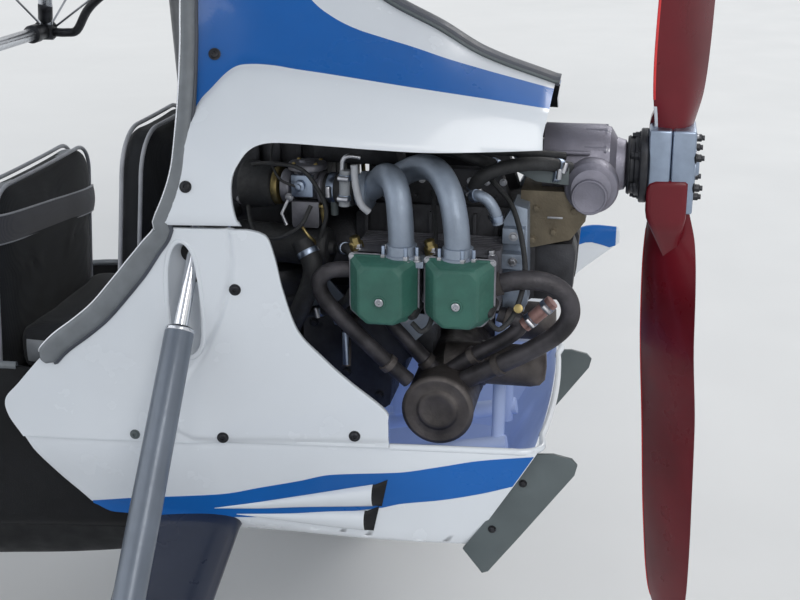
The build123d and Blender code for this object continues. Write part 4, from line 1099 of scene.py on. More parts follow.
def make_valve_covers():
    kit = Kit()
    for s_mid in CYLINDER_S:
        depth = COVER_FACE_Y - COVER_BASE_Y
        levels = [(0.0, 0.052, 0.050, -0.055, 0.020, 0.006), (0.10, 0.052, 0.050, -0.055, 0.020, 0.006),
                  (0.16, 0.050, 0.048, -0.053, 0.019, 0.007), (0.80, 0.037, 0.045, -0.050, 0.016, 0.009),
                  (0.94, 0.034, 0.0425, -0.0475, 0.015, 0.010), (1.0, 0.030, 0.039, -0.044, 0.014, 0.010)]
        rings = [cover_ring(s_mid, COVER_BASE_Y + share * depth, *rest) for share, *rest in levels]
        kit.grid(rings, "green", closed=True)
        kit.fan(rings[-1], "green", flip=True)
        kit.grid([cover_ring(s_mid, COVER_BASE_Y - 0.008, 0.0545, 0.052, -0.057, 0.020, 0.006),
                  cover_ring(s_mid, COVER_BASE_Y, 0.0545, 0.052, -0.057, 0.020, 0.006),
                  cover_ring(s_mid, COVER_BASE_Y + 0.0005, 0.050, 0.048, -0.053, 0.020, 0.006)], "cast", closed=True)
        centre = at(s_mid, COVER_FACE_Y, COVER_Z - 0.012)
        kit.lathe([(0.0105, -0.001), (0.010, 0.0014), (0.0078, 0.0018), (0.0072, 0.0008)], centre, (0, 1, 0), "green", 24)
        kit.lathe([(0.0066, 0.0005), (0.0066, 0.003), (0.0055, 0.0038), (0.003, 0.0038), (0.0028, 0.0012), (0, 0.0012)],
                  centre, (0, 1, 0), "steel", 24)
        for ds, dz in ((0.049, 0.046), (-0.049, 0.046)):
            kit.hex(at(s_mid + ds, COVER_BASE_Y + 0.0005, COVER_Z + dz), (0, 1, 0), "steel", 0.0045, 0.005)
    kit.mirror().make("valve_cover_castings", "trike", bevel=0.0009, angle=30, replaces=["valve_covers"],
                      slot="green_cover")


INTAKES = [
    [(0.462, 0.150, 1.082), (0.446, 0.158, 1.092), (0.428, 0.176, 1.112), (0.410, 0.204, 1.112), (0.398, 0.226, 1.090),
     (0.393, 0.234, 1.055), (0.391, 0.235, 1.016)],
    [(0.440, 0.105, 1.075), (0.415, 0.122, 1.100), (0.378, 0.150, 1.122), (0.346, 0.182, 1.124), (0.322, 0.214, 1.100),
     (0.310, 0.231, 1.062), (0.305, 0.235, 1.016)],
]


def make_intakes():
    kit = Kit()
    for points in INTAKES:
        path = smooth_path([at(*p) for p in points], 9)
        kit.tube(path, 0.0198, "intake", 28)
        s, y, z = points[-1]
        kit.lathe([(0.0198, 0.0), (0.0235, -0.001), (0.0235, -0.014), (0.027, -0.016), (0.027, -0.030)],
                  at(s, y, z + 0.006), (0, 0, 1), "intake", 28)
        kit.side([(s - 0.036, z - 0.026), (s + 0.036, z - 0.026), (s + 0.036, z - 0.016), (s - 0.036, z - 0.016)],
                 y - 0.022, y + 0.018, "intake")
        for ds, dy in ((0.026, 0.014), (-0.026, 0.014), (-0.010, 0.0215)):
            kit.hex(at(s + ds, y + dy, z - 0.016), (0, 0, 1), "steel", 0.0055, 0.009)
            kit.lathe([(0.003, 0), (0.003, 0.022), (0, 0.022)], at(s + ds, y + dy, z - 0.016), (0, 0, 1), "alloy", 12)
    s, y, z = INTAKES[0][0]
    kit.lathe([(0.0198, -0.004), (0.030, -0.002), (0.030, 0.009), (0.026, 0.011), (0.026, 0.017), (0, 0.017)],
              at(s - 0.004, y, z), (1, -0.15, -0.1), "intake", 32)
    kit.mirror().make("intake_manifold", "trike", bevel=0.0008, angle=35, replaces=["intake_pipes"],
                      slot="intake_alloy")


def make_carburettors():
    kit = Kit()
    mouth = at(0.478, 0.148, 1.082)
    axis = Vector((1, -0.12, -0.02)).normalized()
    here = mouth
    kit.lathe([(0.024, 0.0), (0.026, 0.002), (0.026, 0.030), (0.023, 0.033), (0.023, 0.050)], here, axis, "rubber", 28)
    kit.band(here + axis * 0.010, axis, 0.0262, "fin", 0.009)
    kit.band(here + axis * 0.038, axis, 0.0235, "alloy", 0.012)
    body = here + axis * 0.050
    kit.lathe([(0.021, 0.0), (0.026, 0.003), (0.026, 0.008), (0.019, 0.011), (0.019, 0.052), (0.025, 0.056), (0.027, 0.062),
               (0.027, 0.070), (0.022, 0.070), (0.019, 0.060), (0, 0.060)], body, axis, "cast", 30)
    middle = body + axis * 0.032
    kit.lathe([(0.0, 0.044), (0.012, 0.044), (0.014, 0.041), (0.029, 0.040), (0.031, 0.037), (0.031, 0.030), (0.022, 0.026),
               (0.020, 0.0)], middle, (0, 0, 1), "cast", 30)
    for i in range(4):
        a = math.radians(45 + 90 * i)
        kit.screw(middle + Vector((0.025 * math.cos(a), 0.025 * math.sin(a), 0.0405)), (0, 0, 1), "brass", 0.0028, 0.002)
    kit.prism([(-0.020, -0.062), (0.020, -0.062), (0.022, -0.056), (0.022, -0.020), (-0.022, -0.020), (-0.022, -0.056)],
              middle + Vector((0, 0.021, 0)), (1, 0, 0), (0, 0, 1), 0.042, "cast")
    kit.hex(middle + Vector((0, 0, -0.062)), (0, 0, -1), "brass", 0.0075, 0.008)
    kit.prism([(-0.017, -0.017), (0.017, -0.017), (0.017, 0.017), (-0.017, 0.017)], middle + Vector((0.002, 0.022, 0.008)),
              (1, 0, 0), (0, 0, 1), -0.010, "alloy")
    kit.lathe([(0.0085, 0), (0.0085, 0.012), (0.004, 0.013), (0.004, 0.018), (0, 0.018)],
              middle + Vector((0.004, 0.031, 0.010)), (0, 1, 0), "alloy", 20)
    kit.tube(smooth_path([middle + Vector(p) for p in ((0.010, 0.042, 0.010), (0.034, 0.046, 0.022), (0.048, 0.040, 0.052),
                                                       (0.046, 0.020, 0.092))], 6), 0.0022, "rubber", 8)
    ring = body + axis * 0.073
    kit.lathe([(0.022, 0.0), (0.030, 0.002), (0.031, 0.010), (0.029, 0.013)], ring, axis, "brass", 32)
    kit.lathe([(0.029, 0.012), (0.034, 0.015), (0.040, 0.060), (0.037, 0.066), (0, 0.066)], ring, axis, "rubber", 32)
    lever = middle + Vector((0.024, 0.026, -0.012))
    kit.tube([lever, lever + Vector((0.012, 0.004, -0.026)), lever + Vector((0.004, 0.006, -0.044))], 0.0028, "steel", 8)
    kit.hex(lever, (0, 1, 0), "steel", 0.005, 0.005)
    kit.lathe([(0.004, 0), (0.004, 0.024), (0.0055, 0.025), (0.0055, 0.030), (0, 0.030)],
              middle + Vector((-0.030, 0.018, -0.052)), (0.1, 0.1, 1), "brass", 12)
    kit.lathe([(0.006, 0), (0.006, 0.040), (0.0045, 0.042), (0, 0.042)], middle + Vector((-0.046, 0.014, -0.040)),
              (0, 0.05, 1), "fin", 14)
    kit.mirror().make("carburettor_bodies", "trike", bevel=0.0006, angle=35, replaces=["carburettors"],
                      slot="intake_alloy")


EXHAUST_R = 0.0135
EXHAUSTS = [
    ([(0.446, 0.226, 0.972), (0.480, 0.232, 0.976), (0.506, 0.236, 0.972), (0.520, 0.237, 0.955), (0.514, 0.235, 0.930),
      (0.488, 0.229, 0.896), (0.452, 0.216, 0.853), (0.418, 0.203, 0.814), (0.388, 0.190, 0.782)], 0.0125),
    ([(0.262, 0.226, 0.958), (0.215, 0.224, 0.970), (0.172, 0.220, 0.968), (0.142, 0.216, 0.948), (0.134, 0.211, 0.916),
      (0.150, 0.204, 0.884), (0.190, 0.194, 0.850), (0.245, 0.182, 0.815), (0.300, 0.168, 0.780)], 0.0150),
    ([(0.250, 0.150, 0.890), (0.215, 0.150, 0.876), (0.235, 0.150, 0.850), (0.290, 0.148, 0.815), (0.325, 0.145, 0.788)],
     0.0125),
    ([(0.400, 0.150, 0.900), (0.425, 0.150, 0.872), (0.400, 0.150, 0.840), (0.365, 0.148, 0.800), (0.350, 0.145, 0.785)],
     0.0125),
]
CAN_S = 0.338
CAN_Z = 0.741
CAN_R = 0.056
CAN_HALF = 0.212


def make_exhaust():
    kit = Kit()
    for points, radius in EXHAUSTS:
        path = smooth_path([at(*p) for p in points], 8)
        kit.tube(path, radius, "pipe", 22)
        for place, ahead in ((path[3], path[4]), (path[-9], path[-8])):
            kit.lathe([(radius, -0.006), (radius + 0.003, -0.005), (radius + 0.003, 0.005), (radius, 0.006)], place,
                      ahead - place, "can", 22)
    kit.mirror()
    # The far side's rear pipe turns tighter
    for p in kit.points:
        if p.y < 0:
            p.x += 0.040 * min(max((0.262 + HUB_X - p.x) / 0.11, 0.0), 1.0)
    kit.make("exhaust_tubes", "trike", angle=40, replaces=["exhaust_pipes"], slot="black_pipe")
    can = Kit()
    half = [(0.0, CAN_HALF - 0.004), (0.020, CAN_HALF - 0.004), (0.024, CAN_HALF - 0.001), (0.030, CAN_HALF - 0.001),
            (0.034, CAN_HALF - 0.005), (0.044, CAN_HALF - 0.004), (0.0515, CAN_HALF), (0.0555, CAN_HALF - 0.002),
            (0.058, CAN_HALF - 0.006), (0.0575, CAN_HALF - 0.012), (CAN_R, CAN_HALF - 0.014), (CAN_R, 0.06),
            (CAN_R + 0.0015, 0.055), (CAN_R + 0.0015, 0.030), (CAN_R, 0.025)]
    profile = half + [(r, -h) for r, h in reversed(half)]
    can.lathe(profile[::-1], at(CAN_S, 0, CAN_Z), (0, 1, 0), "can", 48)
    for y in (0.112, -0.112):
        can.lathe([(0, -0.165), (0.022, -0.163), (0.031, -0.155), (0.034, -0.140), (0.034, 0.0)],
                  at(0.338, y, 0.790), (1, 0, 0), "can", 32)
        can.lathe([(0.034, -0.004), (0.037, -0.003), (0.037, 0.006), (0.034, 0.007)], at(0.275, y, 0.790), (1, 0, 0),
                  "pipe", 32)
    can.make("muffler_can", "trike", bevel=0.001, angle=40, replaces=["muffler"], slot="black_can")


def make_gearbox():
    kit = Kit()
    for i in range(8):
        a = math.radians(-40 + 37 * i)
        if i < 4:
            place = at(0.100, 0.056 * math.cos(a), HUB_Z + 0.056 * math.sin(a))
            kit.lathe([(0.0085, -0.004), (0.0085, 0.030)], place, (1, 0, 0), "gearcase", 14)
            kit.hex(place + Vector((-0.004, 0, 0)), (-1, 0, 0), "steel", 0.005, 0.006)
    for z in (1.045, 1.09, 1.135):
        kit.box((0.120, 0.040, z - 0.002), (0.190, 0.068, z + 0.002), "gearcase")
    kit.lathe([(0.040, 0.0), (0.0425, 0.02), (0.0425, 0.040), (0.040, 0.046), (0.034, 0.050), (0.031, 0.056), (0, 0.058)],
              at(0.115, 0.055, 1.088), (0, 1, 0), "gearcase", 44)
    disc = at(0.117, 0.111, 1.0765)
    kit.lathe([(0.0285, -0.012), (0.0285, 0.004), (0.027, 0.007), (0.0245, 0.007), (0.0240, 0.005), (0, 0.005)], disc,
              (0, 1, 0), "gearcase", 40)
    kit.mirror()
    outline = [(0.064 * math.cos(math.radians(a)), HUB_Z + 0.064 * math.sin(math.radians(a))) for a in steps(-60, 240, 26)]
    outline += [(-0.044, 1.046), (-0.030, 1.036), (0.030, 1.036), (0.044, 1.046)]
    kit.prism(outline, at(0.100, 0, 0), (0, 1, 0), (0, 0, 1), 0.095, "gearcase")
    kit.lathe([(0.062, 0.0), (0.060, -0.010), (0.044, -0.020), (0.040, -0.034), (0.036, -0.036), (0.033, -0.040),
               (0, -0.040)][::-1], at(0.100, 0, HUB_Z), (1, 0, 0), "gearcase", 40)
    kit.make("gearbox_case", "trike", bevel=0.0018, angle=32, replaces=["gearbox"], slot="engine_alloy")


def make_crankcase():
    case = Kit()
    for z, y_out in ((0.90, 0.128), (0.94, 0.158), (0.98, 0.162), (1.02, 0.158)):
        case.box((0.212, 0.060, z - 0.012), (0.246, y_out, z + 0.012), "intake")
        case.hex(at(0.229, y_out, z), (0, 1, 0), "steel", 0.0055, 0.006)
    case.side([(0.206, 0.905), (0.214, 0.895), (0.240, 0.895), (0.250, 0.93), (0.246, 1.04), (0.232, 1.066), (0.210, 1.060)],
              0.070, 0.140, "intake")
    for s in steps(0.262, 0.474, 7):
        case.box((s - 0.003, 0.086, 0.878), (s + 0.003, 0.096, 1.036), "dark_cast")
    for s, z in ((0.140, 1.048), (0.172, 1.012), (0.200, 1.050), (0.205, 0.998)):
        case.hex(at(s, 0.092, z), (0, 1, 0), "ochre", 0.005, 0.005)
    case.box((0.158, 0.091, 1.034), (0.182, 0.0935, 1.037), "steel")
    case.mirror()
    case.side([(0.122, 1.032), (0.145, 1.000), (0.205, 0.985), (0.225, 0.985), (0.225, 1.078), (0.155, 1.078),
               (0.128, 1.060)], -0.092, 0.092, "ochre")
    case.side([(0.200, 0.900), (0.250, 0.868), (0.480, 0.868), (0.492, 0.884), (0.492, 1.028), (0.470, 1.046),
               (0.212, 1.046), (0.200, 1.030)], -0.088, 0.088, "dark_cast")
    case.lathe([(0.0, 0.0), (0.070, 0.0), (0.078, 0.006), (0.082, 0.018), (0.082, 0.060), (0.074, 0.068), (0.05, 0.070),
                (0.046, 0.078), (0, 0.078)], at(0.486, 0, 0.958), (1, 0, 0), "dark_cast", 44)
    case.make("engine_case", "trike", bevel=0.0016, angle=32, replaces=["crankcase"], slot="engine_alloy")


HOSES = [
    # finish, radius, then points (station, y, z)
    ("rubber", 0.016, [(0.560, 0.185, 1.005), (0.540, 0.195, 0.960), (0.560, 0.190, 0.900), (0.590, 0.170, 0.840),
                       (0.600, 0.150, 0.780)]),
    ("rubber", 0.0085, [(0.500, 0.170, 0.990), (0.478, 0.205, 1.000), (0.466, 0.215, 0.985), (0.470, 0.210, 0.940),
                        (0.500, 0.190, 0.900), (0.560, 0.170, 0.880)]),
    ("rubber", 0.010, [(0.250, 0.085, 1.110), (0.290, 0.120, 1.130), (0.340, 0.120, 1.145), (0.420, 0.100, 1.150),
                       (0.500, 0.080, 1.140)]),
    ("rubber", 0.011, [(0.150, 0.090, 1.115), (0.190, 0.120, 1.128), (0.240, 0.135, 1.125), (0.285, 0.140, 1.105),
                       (0.300, 0.130, 1.070)]),
    ("rubber", 0.007, [(0.160, 0.070, 1.130), (0.220, 0.110, 1.142), (0.300, 0.135, 1.150), (0.360, 0.120, 1.155)]),
    ("rubber", 0.0042, [(0.254, 0.262, 0.915), (0.235, 0.265, 0.905), (0.214, 0.240, 0.930), (0.206, 0.200, 0.985),
                        (0.230, 0.150, 1.060), (0.270, 0.120, 1.100)]),
    ("rubber", 0.0042, [(0.370, 0.262, 0.905), (0.352, 0.270, 0.896), (0.340, 0.250, 0.920), (0.346, 0.190, 1.010),
                        (0.360, 0.130, 1.080)]),
    ("rubber", 0.0035, [(0.640, 0.170, 1.120), (0.600, 0.200, 1.130), (0.550, 0.200, 1.120), (0.520, 0.185, 1.060),
                        (0.530, 0.180, 1.010)]),
    ("rubber", 0.0035, [(0.660, 0.140, 1.060), (0.640, 0.180, 1.020), (0.600, 0.200, 1.010), (0.560, 0.198, 1.030),
                        (0.545, 0.180, 1.060)]),
    ("brass", 0.0028, [(0.560, 0.186, 1.030), (0.548, 0.190, 1.015), (0.540, 0.180, 1.000), (0.556, 0.170, 0.985)]),
    ("intake", 0.0088, [(0.292, 0.180, 1.086), (0.280, 0.188, 1.090), (0.266, 0.192, 1.084), (0.255, 0.192, 1.068),
                        (0.250, 0.190, 1.048)]),
    ("gusset", 0.0085, [(0.485, 0.200, 1.124), (0.486, 0.200, 1.098), (0.487, 0.200, 1.068)]),
    ("steel", 0.0036, [(0.490, 0.200, 1.124), (0.4885, 0.200, 1.139), (0.480, 0.200, 1.146), (0.462, 0.196, 1.144)]),
    ("piping", 0.0055, [(0.470, 0.205, 1.134), (0.468, 0.206, 1.104), (0.460, 0.206, 1.074), (0.448, 0.202, 1.060)]),
    ("tinted", 0.0115, [(0.165, 0.160, 0.918), (0.185, 0.160, 0.898), (0.208, 0.160, 0.876)]),
    ("can", 0.007, [(0.480, 0.100, 0.860), (0.500, 0.140, 0.850), (0.490, 0.180, 0.830), (0.489, 0.190, 0.800)]),
]


def make_engine_dressing():
    kit = Kit()
    for finish, radius, points in HOSES:
        path = smooth_path([at(*p) for p in points], 7)
        kit.tube(path, radius, finish, 14 if radius > 0.005 else 8)
        if radius > 0.008:
            kit.band(path[3], path[4] - path[2], radius, "alloy", 0.009)
            kit.band(path[-4], path[-3] - path[-5], radius, "alloy", 0.009)
    for s, y, z in ((0.254, 0.262, 0.915), (0.370, 0.262, 0.905)):
        kit.lathe([(0.0075, -0.026), (0.0085, -0.022), (0.0085, 0.004), (0.006, 0.010), (0.0045, 0.012)],
                  at(s, y - 0.012, z + 0.012), (0.2, 0.9, -0.3), "rubber", 16)
    kit.lathe([(0.005, 0), (0.005, 0.012), (0.007, 0.013), (0.007, 0.020), (0, 0.020)], at(0.210, 0.235, 0.928),
              (0, 1, 0.4), "brass", 12)
    kit.lathe([(0.009, 0), (0.009, 0.010), (0.007, 0.012), (0, 0.012)], at(0.500, 0.180, 0.874), (0.3, 1, 0.3), "alloy", 6)
    kit.lathe([(0.0055, 0), (0.0055, 0.055), (0, 0.055)], at(0.489, 0.195, 0.805), (0, 0, 1), "alloy", 14)
    kit.side([(0.545, 0.958), (0.700, 0.958), (0.706, 1.165), (0.690, 1.185), (0.545, 1.190)], 0.002, 0.084, "dark_cast")
    for s, z in ((0.570, 1.160), (0.620, 1.165), (0.670, 1.150), (0.688, 1.040), (0.660, 0.985)):
        kit.hex(at(s, 0.084, z), (0, 1, 0), "steel", 0.0055, 0.006)
    for s in (0.585, 0.620, 0.655):
        kit.box((s - 0.004, 0.084, 1.100), (s + 0.004, 0.092, 1.150), "dark_cast")
    kit.side([(0.360, 0.802), (0.400, 0.792), (0.428, 0.765), (0.432, 0.706), (0.440, 0.700), (0.570, 0.700), (0.578, 0.710),
              (0.578, 0.862), (0.360, 0.862)], 0.030, 0.116, "dark_cast")
    for s, z in ((0.450, 0.722), (0.560, 0.722), (0.560, 0.845), (0.450, 0.790), (0.505, 0.760)):
        kit.hex(at(s, 0.116, z), (0, 1, 0), "bolt", 0.006, 0.006)
    kit.side([(0.140, 0.905), (0.152, 0.895), (0.205, 0.895), (0.212, 0.985), (0.142, 0.990), (0.136, 0.975)], 0.020, 0.080,
             "dark_cast")
    kit.side([(0.500, 0.868), (0.600, 0.862), (0.585, 0.900), (0.560, 0.925), (0.540, 0.912)], 0.085, 0.090, "strut")
    kit.side([(0.340, 0.880), (0.430, 0.888), (0.420, 0.846), (0.385, 0.834)], 0.150, 0.154, "strut")
    kit.side([(0.240, 1.046), (0.480, 1.046), (0.470, 1.104), (0.260, 1.104)], 0.050, 0.075, "dark_cast")
    kit.side([(0.420, 1.110), (0.560, 1.112), (0.560, 1.150), (0.430, 1.150)], 0.030, 0.095, "dark_cast")
    for s in steps(0.255, 0.465, 9):
        kit.hex(at(s, 0.075, 1.085), (0, 1, 0), "steel", 0.0045, 0.005)
        kit.hex(at(s + 0.010, 0.075, 1.058), (0, 1, 0), "bolt", 0.004, 0.004)
    for s_mid in CYLINDER_S:
        for ds, dz in ((0.044, 0.056), (-0.044, 0.056), (0.0, 0.058)):
            kit.hex(at(s_mid + ds, 0.222, COVER_Z + dz - 0.004), (0, 0, 1), "steel", 0.005, 0.007)
        kit.lathe([(0.011, 0), (0.011, 0.014), (0.008, 0.016), (0.008, 0.024), (0, 0.024)],
                  at(s_mid + 0.047, 0.215, COVER_Z + 0.046), (0.2, 0.2, 1), "brass", 6)
    kit.side([(0.150, 1.092), (0.200, 1.096), (0.230, 1.110), (0.225, 1.122), (0.150, 1.120)], 0.085, 0.105, "fin")
    kit.band(at(0.172, 0.098, 1.112), (1, 0.4, 0.1), 0.0165, "alloy", 0.010)
    kit.mirror().make("engine_hoses", "trike", bevel=0.0005, angle=35, slot="black_pipe")
    oil = Kit()
    oil.lathe([(0.0, 0.790), (0.034, 0.790), (0.043, 0.796), (0.0460, 0.804), (0.0460, 0.812), (0.0448, 0.815),
               (0.0448, 0.905), (0.0460, 0.908), (0.0460, 0.918), (0.042, 0.930), (0.019, 0.937), (0.018, 0.946),
               (0.014, 0.949), (0, 0.949)], at(0.628, 0.078, 0), (0, 0, 1), "dark_cast", 36)
    for z in (0.840, 0.880):
        oil.band(at(0.628, 0.078, z), (0, 0, 1), 0.0455, "bolt", 0.014)
        oil.tube([at(0.628, 0.078, z), at(0.700, 0.040, z), at(0.768, 0.0, z)], 0.0075, "frame", 10)
    cans = Kit()
    start, end = at(0.690, 0.122, 0.984), at(0.522, 0.146, 0.984)
    reach = (end - start).length
    cans.lathe([(0.0, 0.0), (0.022, 0.0), (0.030, 0.003), (0.0325, 0.009), (0.0325, 0.022), (0.0312, 0.024), (0.0312, 0.060),
                (0.0325, 0.062), (0.0325, 0.070), (0.0312, 0.072), (0.0312, reach - 0.030), (0.0325, reach - 0.028),
                (0.0325, reach - 0.008), (0.028, reach), (0.012, reach), (0.011, reach + 0.008), (0, reach + 0.008)],
               start, end - start, "rubber", 40)
    cans.mirror().make("breather_can_skins", "trike", bevel=0.0006, angle=40, replaces=["breather_cans"],
                       slot="black_composite")
    oil.make("oil_tank_dressing", "trike", bevel=0.0008, angle=40, replaces=["oil_tank"], slot="black_can")


# Propeller

# The upper blade: radius, chord, thickness, angle to the disc, how far the middle of the chord is aft
BLADE_ROWS = [
    (0.034, 0.062, 0.048, 64, 0.006), (0.055, 0.066, 0.046, 62, 0.007), (0.075, 0.074, 0.041, 60, 0.009),
    (0.120, 0.100, 0.031, 53, 0.012), (0.190, 0.121, 0.022, 46, 0.014), (0.290, 0.137, 0.0175, 40, 0.017),
    (0.430, 0.148, 0.0135, 37, 0.027), (0.600, 0.148, 0.0108, 34, 0.035), (0.720, 0.140, 0.0088, 32, 0.041),
    (0.785, 0.122, 0.0070, 31, 0.044), (0.814, 0.094, 0.0055, 30, 0.046), (0.826, 0.060, 0.0042, 30, 0.047),
    (0.8295, 0.026, 0.0030, 30, 0.047),
]
HUB_LOW_S = -0.043
HUB_HIGH_S = 0.030
HUB_HALF_Y = 0.048
HUB_HALF_Z = 0.067
BOLT_CIRCLE = 0.048
FLANGE_R = 0.060


def blade_ring(row, grow=0.0, low_share=0.0, high_share=1.0, count=24):
    """A section's outline round the blade, or only the part of it between two shares of the chord."""
    radius, chord, thick, angle, aft = row
    turn = math.radians(angle)
    along = Vector((math.sin(turn), math.cos(turn), 0))
    across = Vector((-math.cos(turn), math.sin(turn), 0))
    middle = Vector((-aft, 0, radius))
    ring = []
    for side, low, high in ((1, high_share, low_share), (-1, low_share, high_share)):
        for i in range(count):
            share = low + (high - low) * i / (count if high_share - low_share > 0.99 else count - 1)
            spread_to = 0.5 - 0.5 * math.cos(math.pi * share)
            t = spread_to * 2 - 1
            bulge = (1 - t * t) * (1 + 0.25 * t)
            height = side * bulge * thick * (0.60 if side > 0 else 0.40) + side * grow
            ring.append(middle + along * (t * chord / 2) + across * height)
    return ring


def blade_rows_fine():
    columns = [curve_of([(row[0], row[i]) for row in BLADE_ROWS]) for i in range(1, 5)]
    radii = steps(0.034, 0.20, 16) + steps(0.22, 0.78, 26) + [0.79, 0.798, 0.806, 0.812, 0.817, 0.821, 0.8245, 0.827,
                                                              0.8287, 0.8295]
    return [(radius, *[column(radius) for column in columns]) for radius in radii]


def cheek_shape(kit, key):
    """The squared root of the upper blade, which covers the hub's far side and runs out into the blade."""
    low_s, high_s, top, foot = HUB_LOW_S + 0.0085, HUB_HIGH_S + 0.0006, 0.013, 0.150
    rings = []
    for y, inset in ((-0.015, 0.0), (-0.046, 0.0), (-0.0495, 0.0012), (-0.0512, 0.004), (-0.0520, 0.009)):
        outline = [(low_s + inset, top + inset + 0.003), (low_s + inset + 0.004, top + inset),
                   (high_s - inset - 0.014, top + inset + 0.001), (high_s - inset - 0.004, top + inset + 0.005),
                   (high_s - inset, top + inset + 0.014)]
        rising = [(high_s - inset - 0.034 * max(0.0, (z - 0.070) / (foot - 0.070)), z) for z in steps(0.050, foot, 9)]
        falling = [(low_s + inset + 0.012 * max(0.0, (z - 0.070) / (foot - 0.070)), z) for z in steps(foot, 0.050, 9)]
        ring = []
        for s, z in outline + rising + falling:
            sink = max(0.0, (z - 0.080) / (foot - 0.080))
            ring.append(Vector((s, y * (1 - 0.90 * sink ** 1.1), z)))
        rings.append(list(reversed(ring)))
    kit.grid(rings, key, closed=True)
    near = rings[-1]
    kit.add(near[18:][::-1] + [near[17], near[0]], [tuple(range(7))], key)
    kit.add(near[:9] + near[9:18][::-1], [(i, 9 + i, 10 + i, i + 1) for i in range(8)], key)
    kit.fan(rings[0], key)


def twice_round(kit):
    """Adds the same shapes half a turn round the shaft, and carries all of them to the hub's place."""
    count = len(kit.points)
    kit.points += [Vector((p.x, -p.y, -p.z)) for p in kit.points]
    kit.faces += [tuple(count + i for i in face) for face in kit.faces]
    kit.keys += kit.keys[:]
    return kit.move(Matrix.Translation(at(0, 0, HUB_Z)))


def make_blades():
    kit = Kit()
    rings = [blade_ring(row) for row in blade_rows_fine()]
    kit.grid(rings, "red", closed=True)
    kit.fan(rings[-1], "red", flip=False)
    cheek_shape(kit, "red")
    twice_round(kit).make("blade_skins", "propeller", angle=42, replaces=["propeller_blades"], slot="red_blade")
    # Strips along the leading edge in brighter red, and at the root in white, are painted highlights where the blades'
    # edges catch the light.
    strip = Kit()
    lead = [blade_ring(row, 0.0007, 0.90, 1.0, 5) for row in blade_rows_fine() if 0.104 <= row[0] <= 0.806]
    strip.grid([ring[:5] + ring[5:] for ring in lead], "red_edge", closed=True)
    strip.fan(lead[0], "red_edge", flip=True)
    strip.fan(lead[-1], "red_edge")
    root = [blade_ring(row, 0.0006, 0.88, 1.0, 5) for row in blade_rows_fine() if 0.062 <= row[0] <= 0.102]
    strip.grid(root, "white", closed=True)
    strip.fan(root[0], "white", flip=True)
    strip.fan(root[-1], "white")
    twice_round(strip).make("blade_painted_highlight_strips", "propeller", angle=50)


def make_hub():
    kit = Kit()
    split = -0.0058
    for low, high in ((HUB_LOW_S, split - 0.0004), (split + 0.0004, HUB_HIGH_S)):
        outline = [(low, -HUB_HALF_Z), (high, -HUB_HALF_Z), (high, HUB_HALF_Z), (low, HUB_HALF_Z)]
        kit.prism([(s, z) for s, z in outline], (0, HUB_HALF_Y, 0), (1, 0, 0), (0, 0, 1), 2 * HUB_HALF_Y, "alloy")
    kit.move(Matrix.Translation(at(0, 0, HUB_Z)))
    kit.make("hub_halves", "propeller", bevel=0.004, angle=40, segments=3, replaces=["propeller_hub"],
             slot="machined_alloy")
    bolts = Kit()
    for i in range(6):
        turn = math.radians(60 * i + 30)
        y, z = BOLT_CIRCLE * math.cos(turn), BOLT_CIRCLE * math.sin(turn)
        bolts.lathe([(0.0085, 0), (0.0085, 0.0015), (0.0066, 0.002), (0.0066, 0.0085), (0.0045, 0.010), (0.0045, 0.0138),
                     (0, 0.0138)], (HUB_LOW_S, y, z), (-1, 0, 0), "bolt", 6)
        bolts.lathe([(0.0085, 0), (0.0085, 0.002), (0.0066, 0.0025), (0.0066, 0.008), (0.005, 0.0095), (0.005, 0.0135),
                     (0, 0.0135)], (HUB_HIGH_S + 0.013, y, z), (1, 0, 0), "bolt", 6)
    for z in (0.058, 0.030, -0.030, -0.058):
        for y in (0.036, -0.036):
            if (y > 0) == (z > 0):
                bolts.lathe([(0.0042, 0), (0.0042, 0.003), (0.003, 0.0036), (0.0028, 0.0016), (0, 0.0016)],
                            (HUB_LOW_S, y, z), (-1, 0, 0), "steel", 16)
    bolts.lathe([(0.030, 0), (0.030, 0.002), (0.014, 0.003), (0.012, 0.008), (0, 0.008)], (HUB_LOW_S, 0, 0), (-1, 0, 0),
                "alloy", 32)
    bolts.move(Matrix.Translation(at(0, 0, HUB_Z)))
    bolts.make("hub_bolts", "propeller", bevel=0.0004, angle=40)
    flange = Kit()
    flange.lathe([(0.046, 0.0), (0.058, 0.0), (FLANGE_R, 0.002), (FLANGE_R, 0.011), (0.058, 0.013), (0.050, 0.013),
                  (0.049, 0.015), (0.049, 0.020), (0.046, 0.022), (0.046, 0.027), (0.048, 0.029), (0.046, 0.033),
                  (0.015, 0.034), (0.015, 0.096)], (HUB_HIGH_S, 0, 0), (1, 0, 0), "bolt", 56)
    flange.move(Matrix.Translation(at(0, 0, HUB_Z)))
    flange.make("drive_flange", "propeller", bevel=0.0006, angle=40, replaces=["propeller_flange"], slot="black_steel")


# Wheels

TREAD_GROOVES = 3


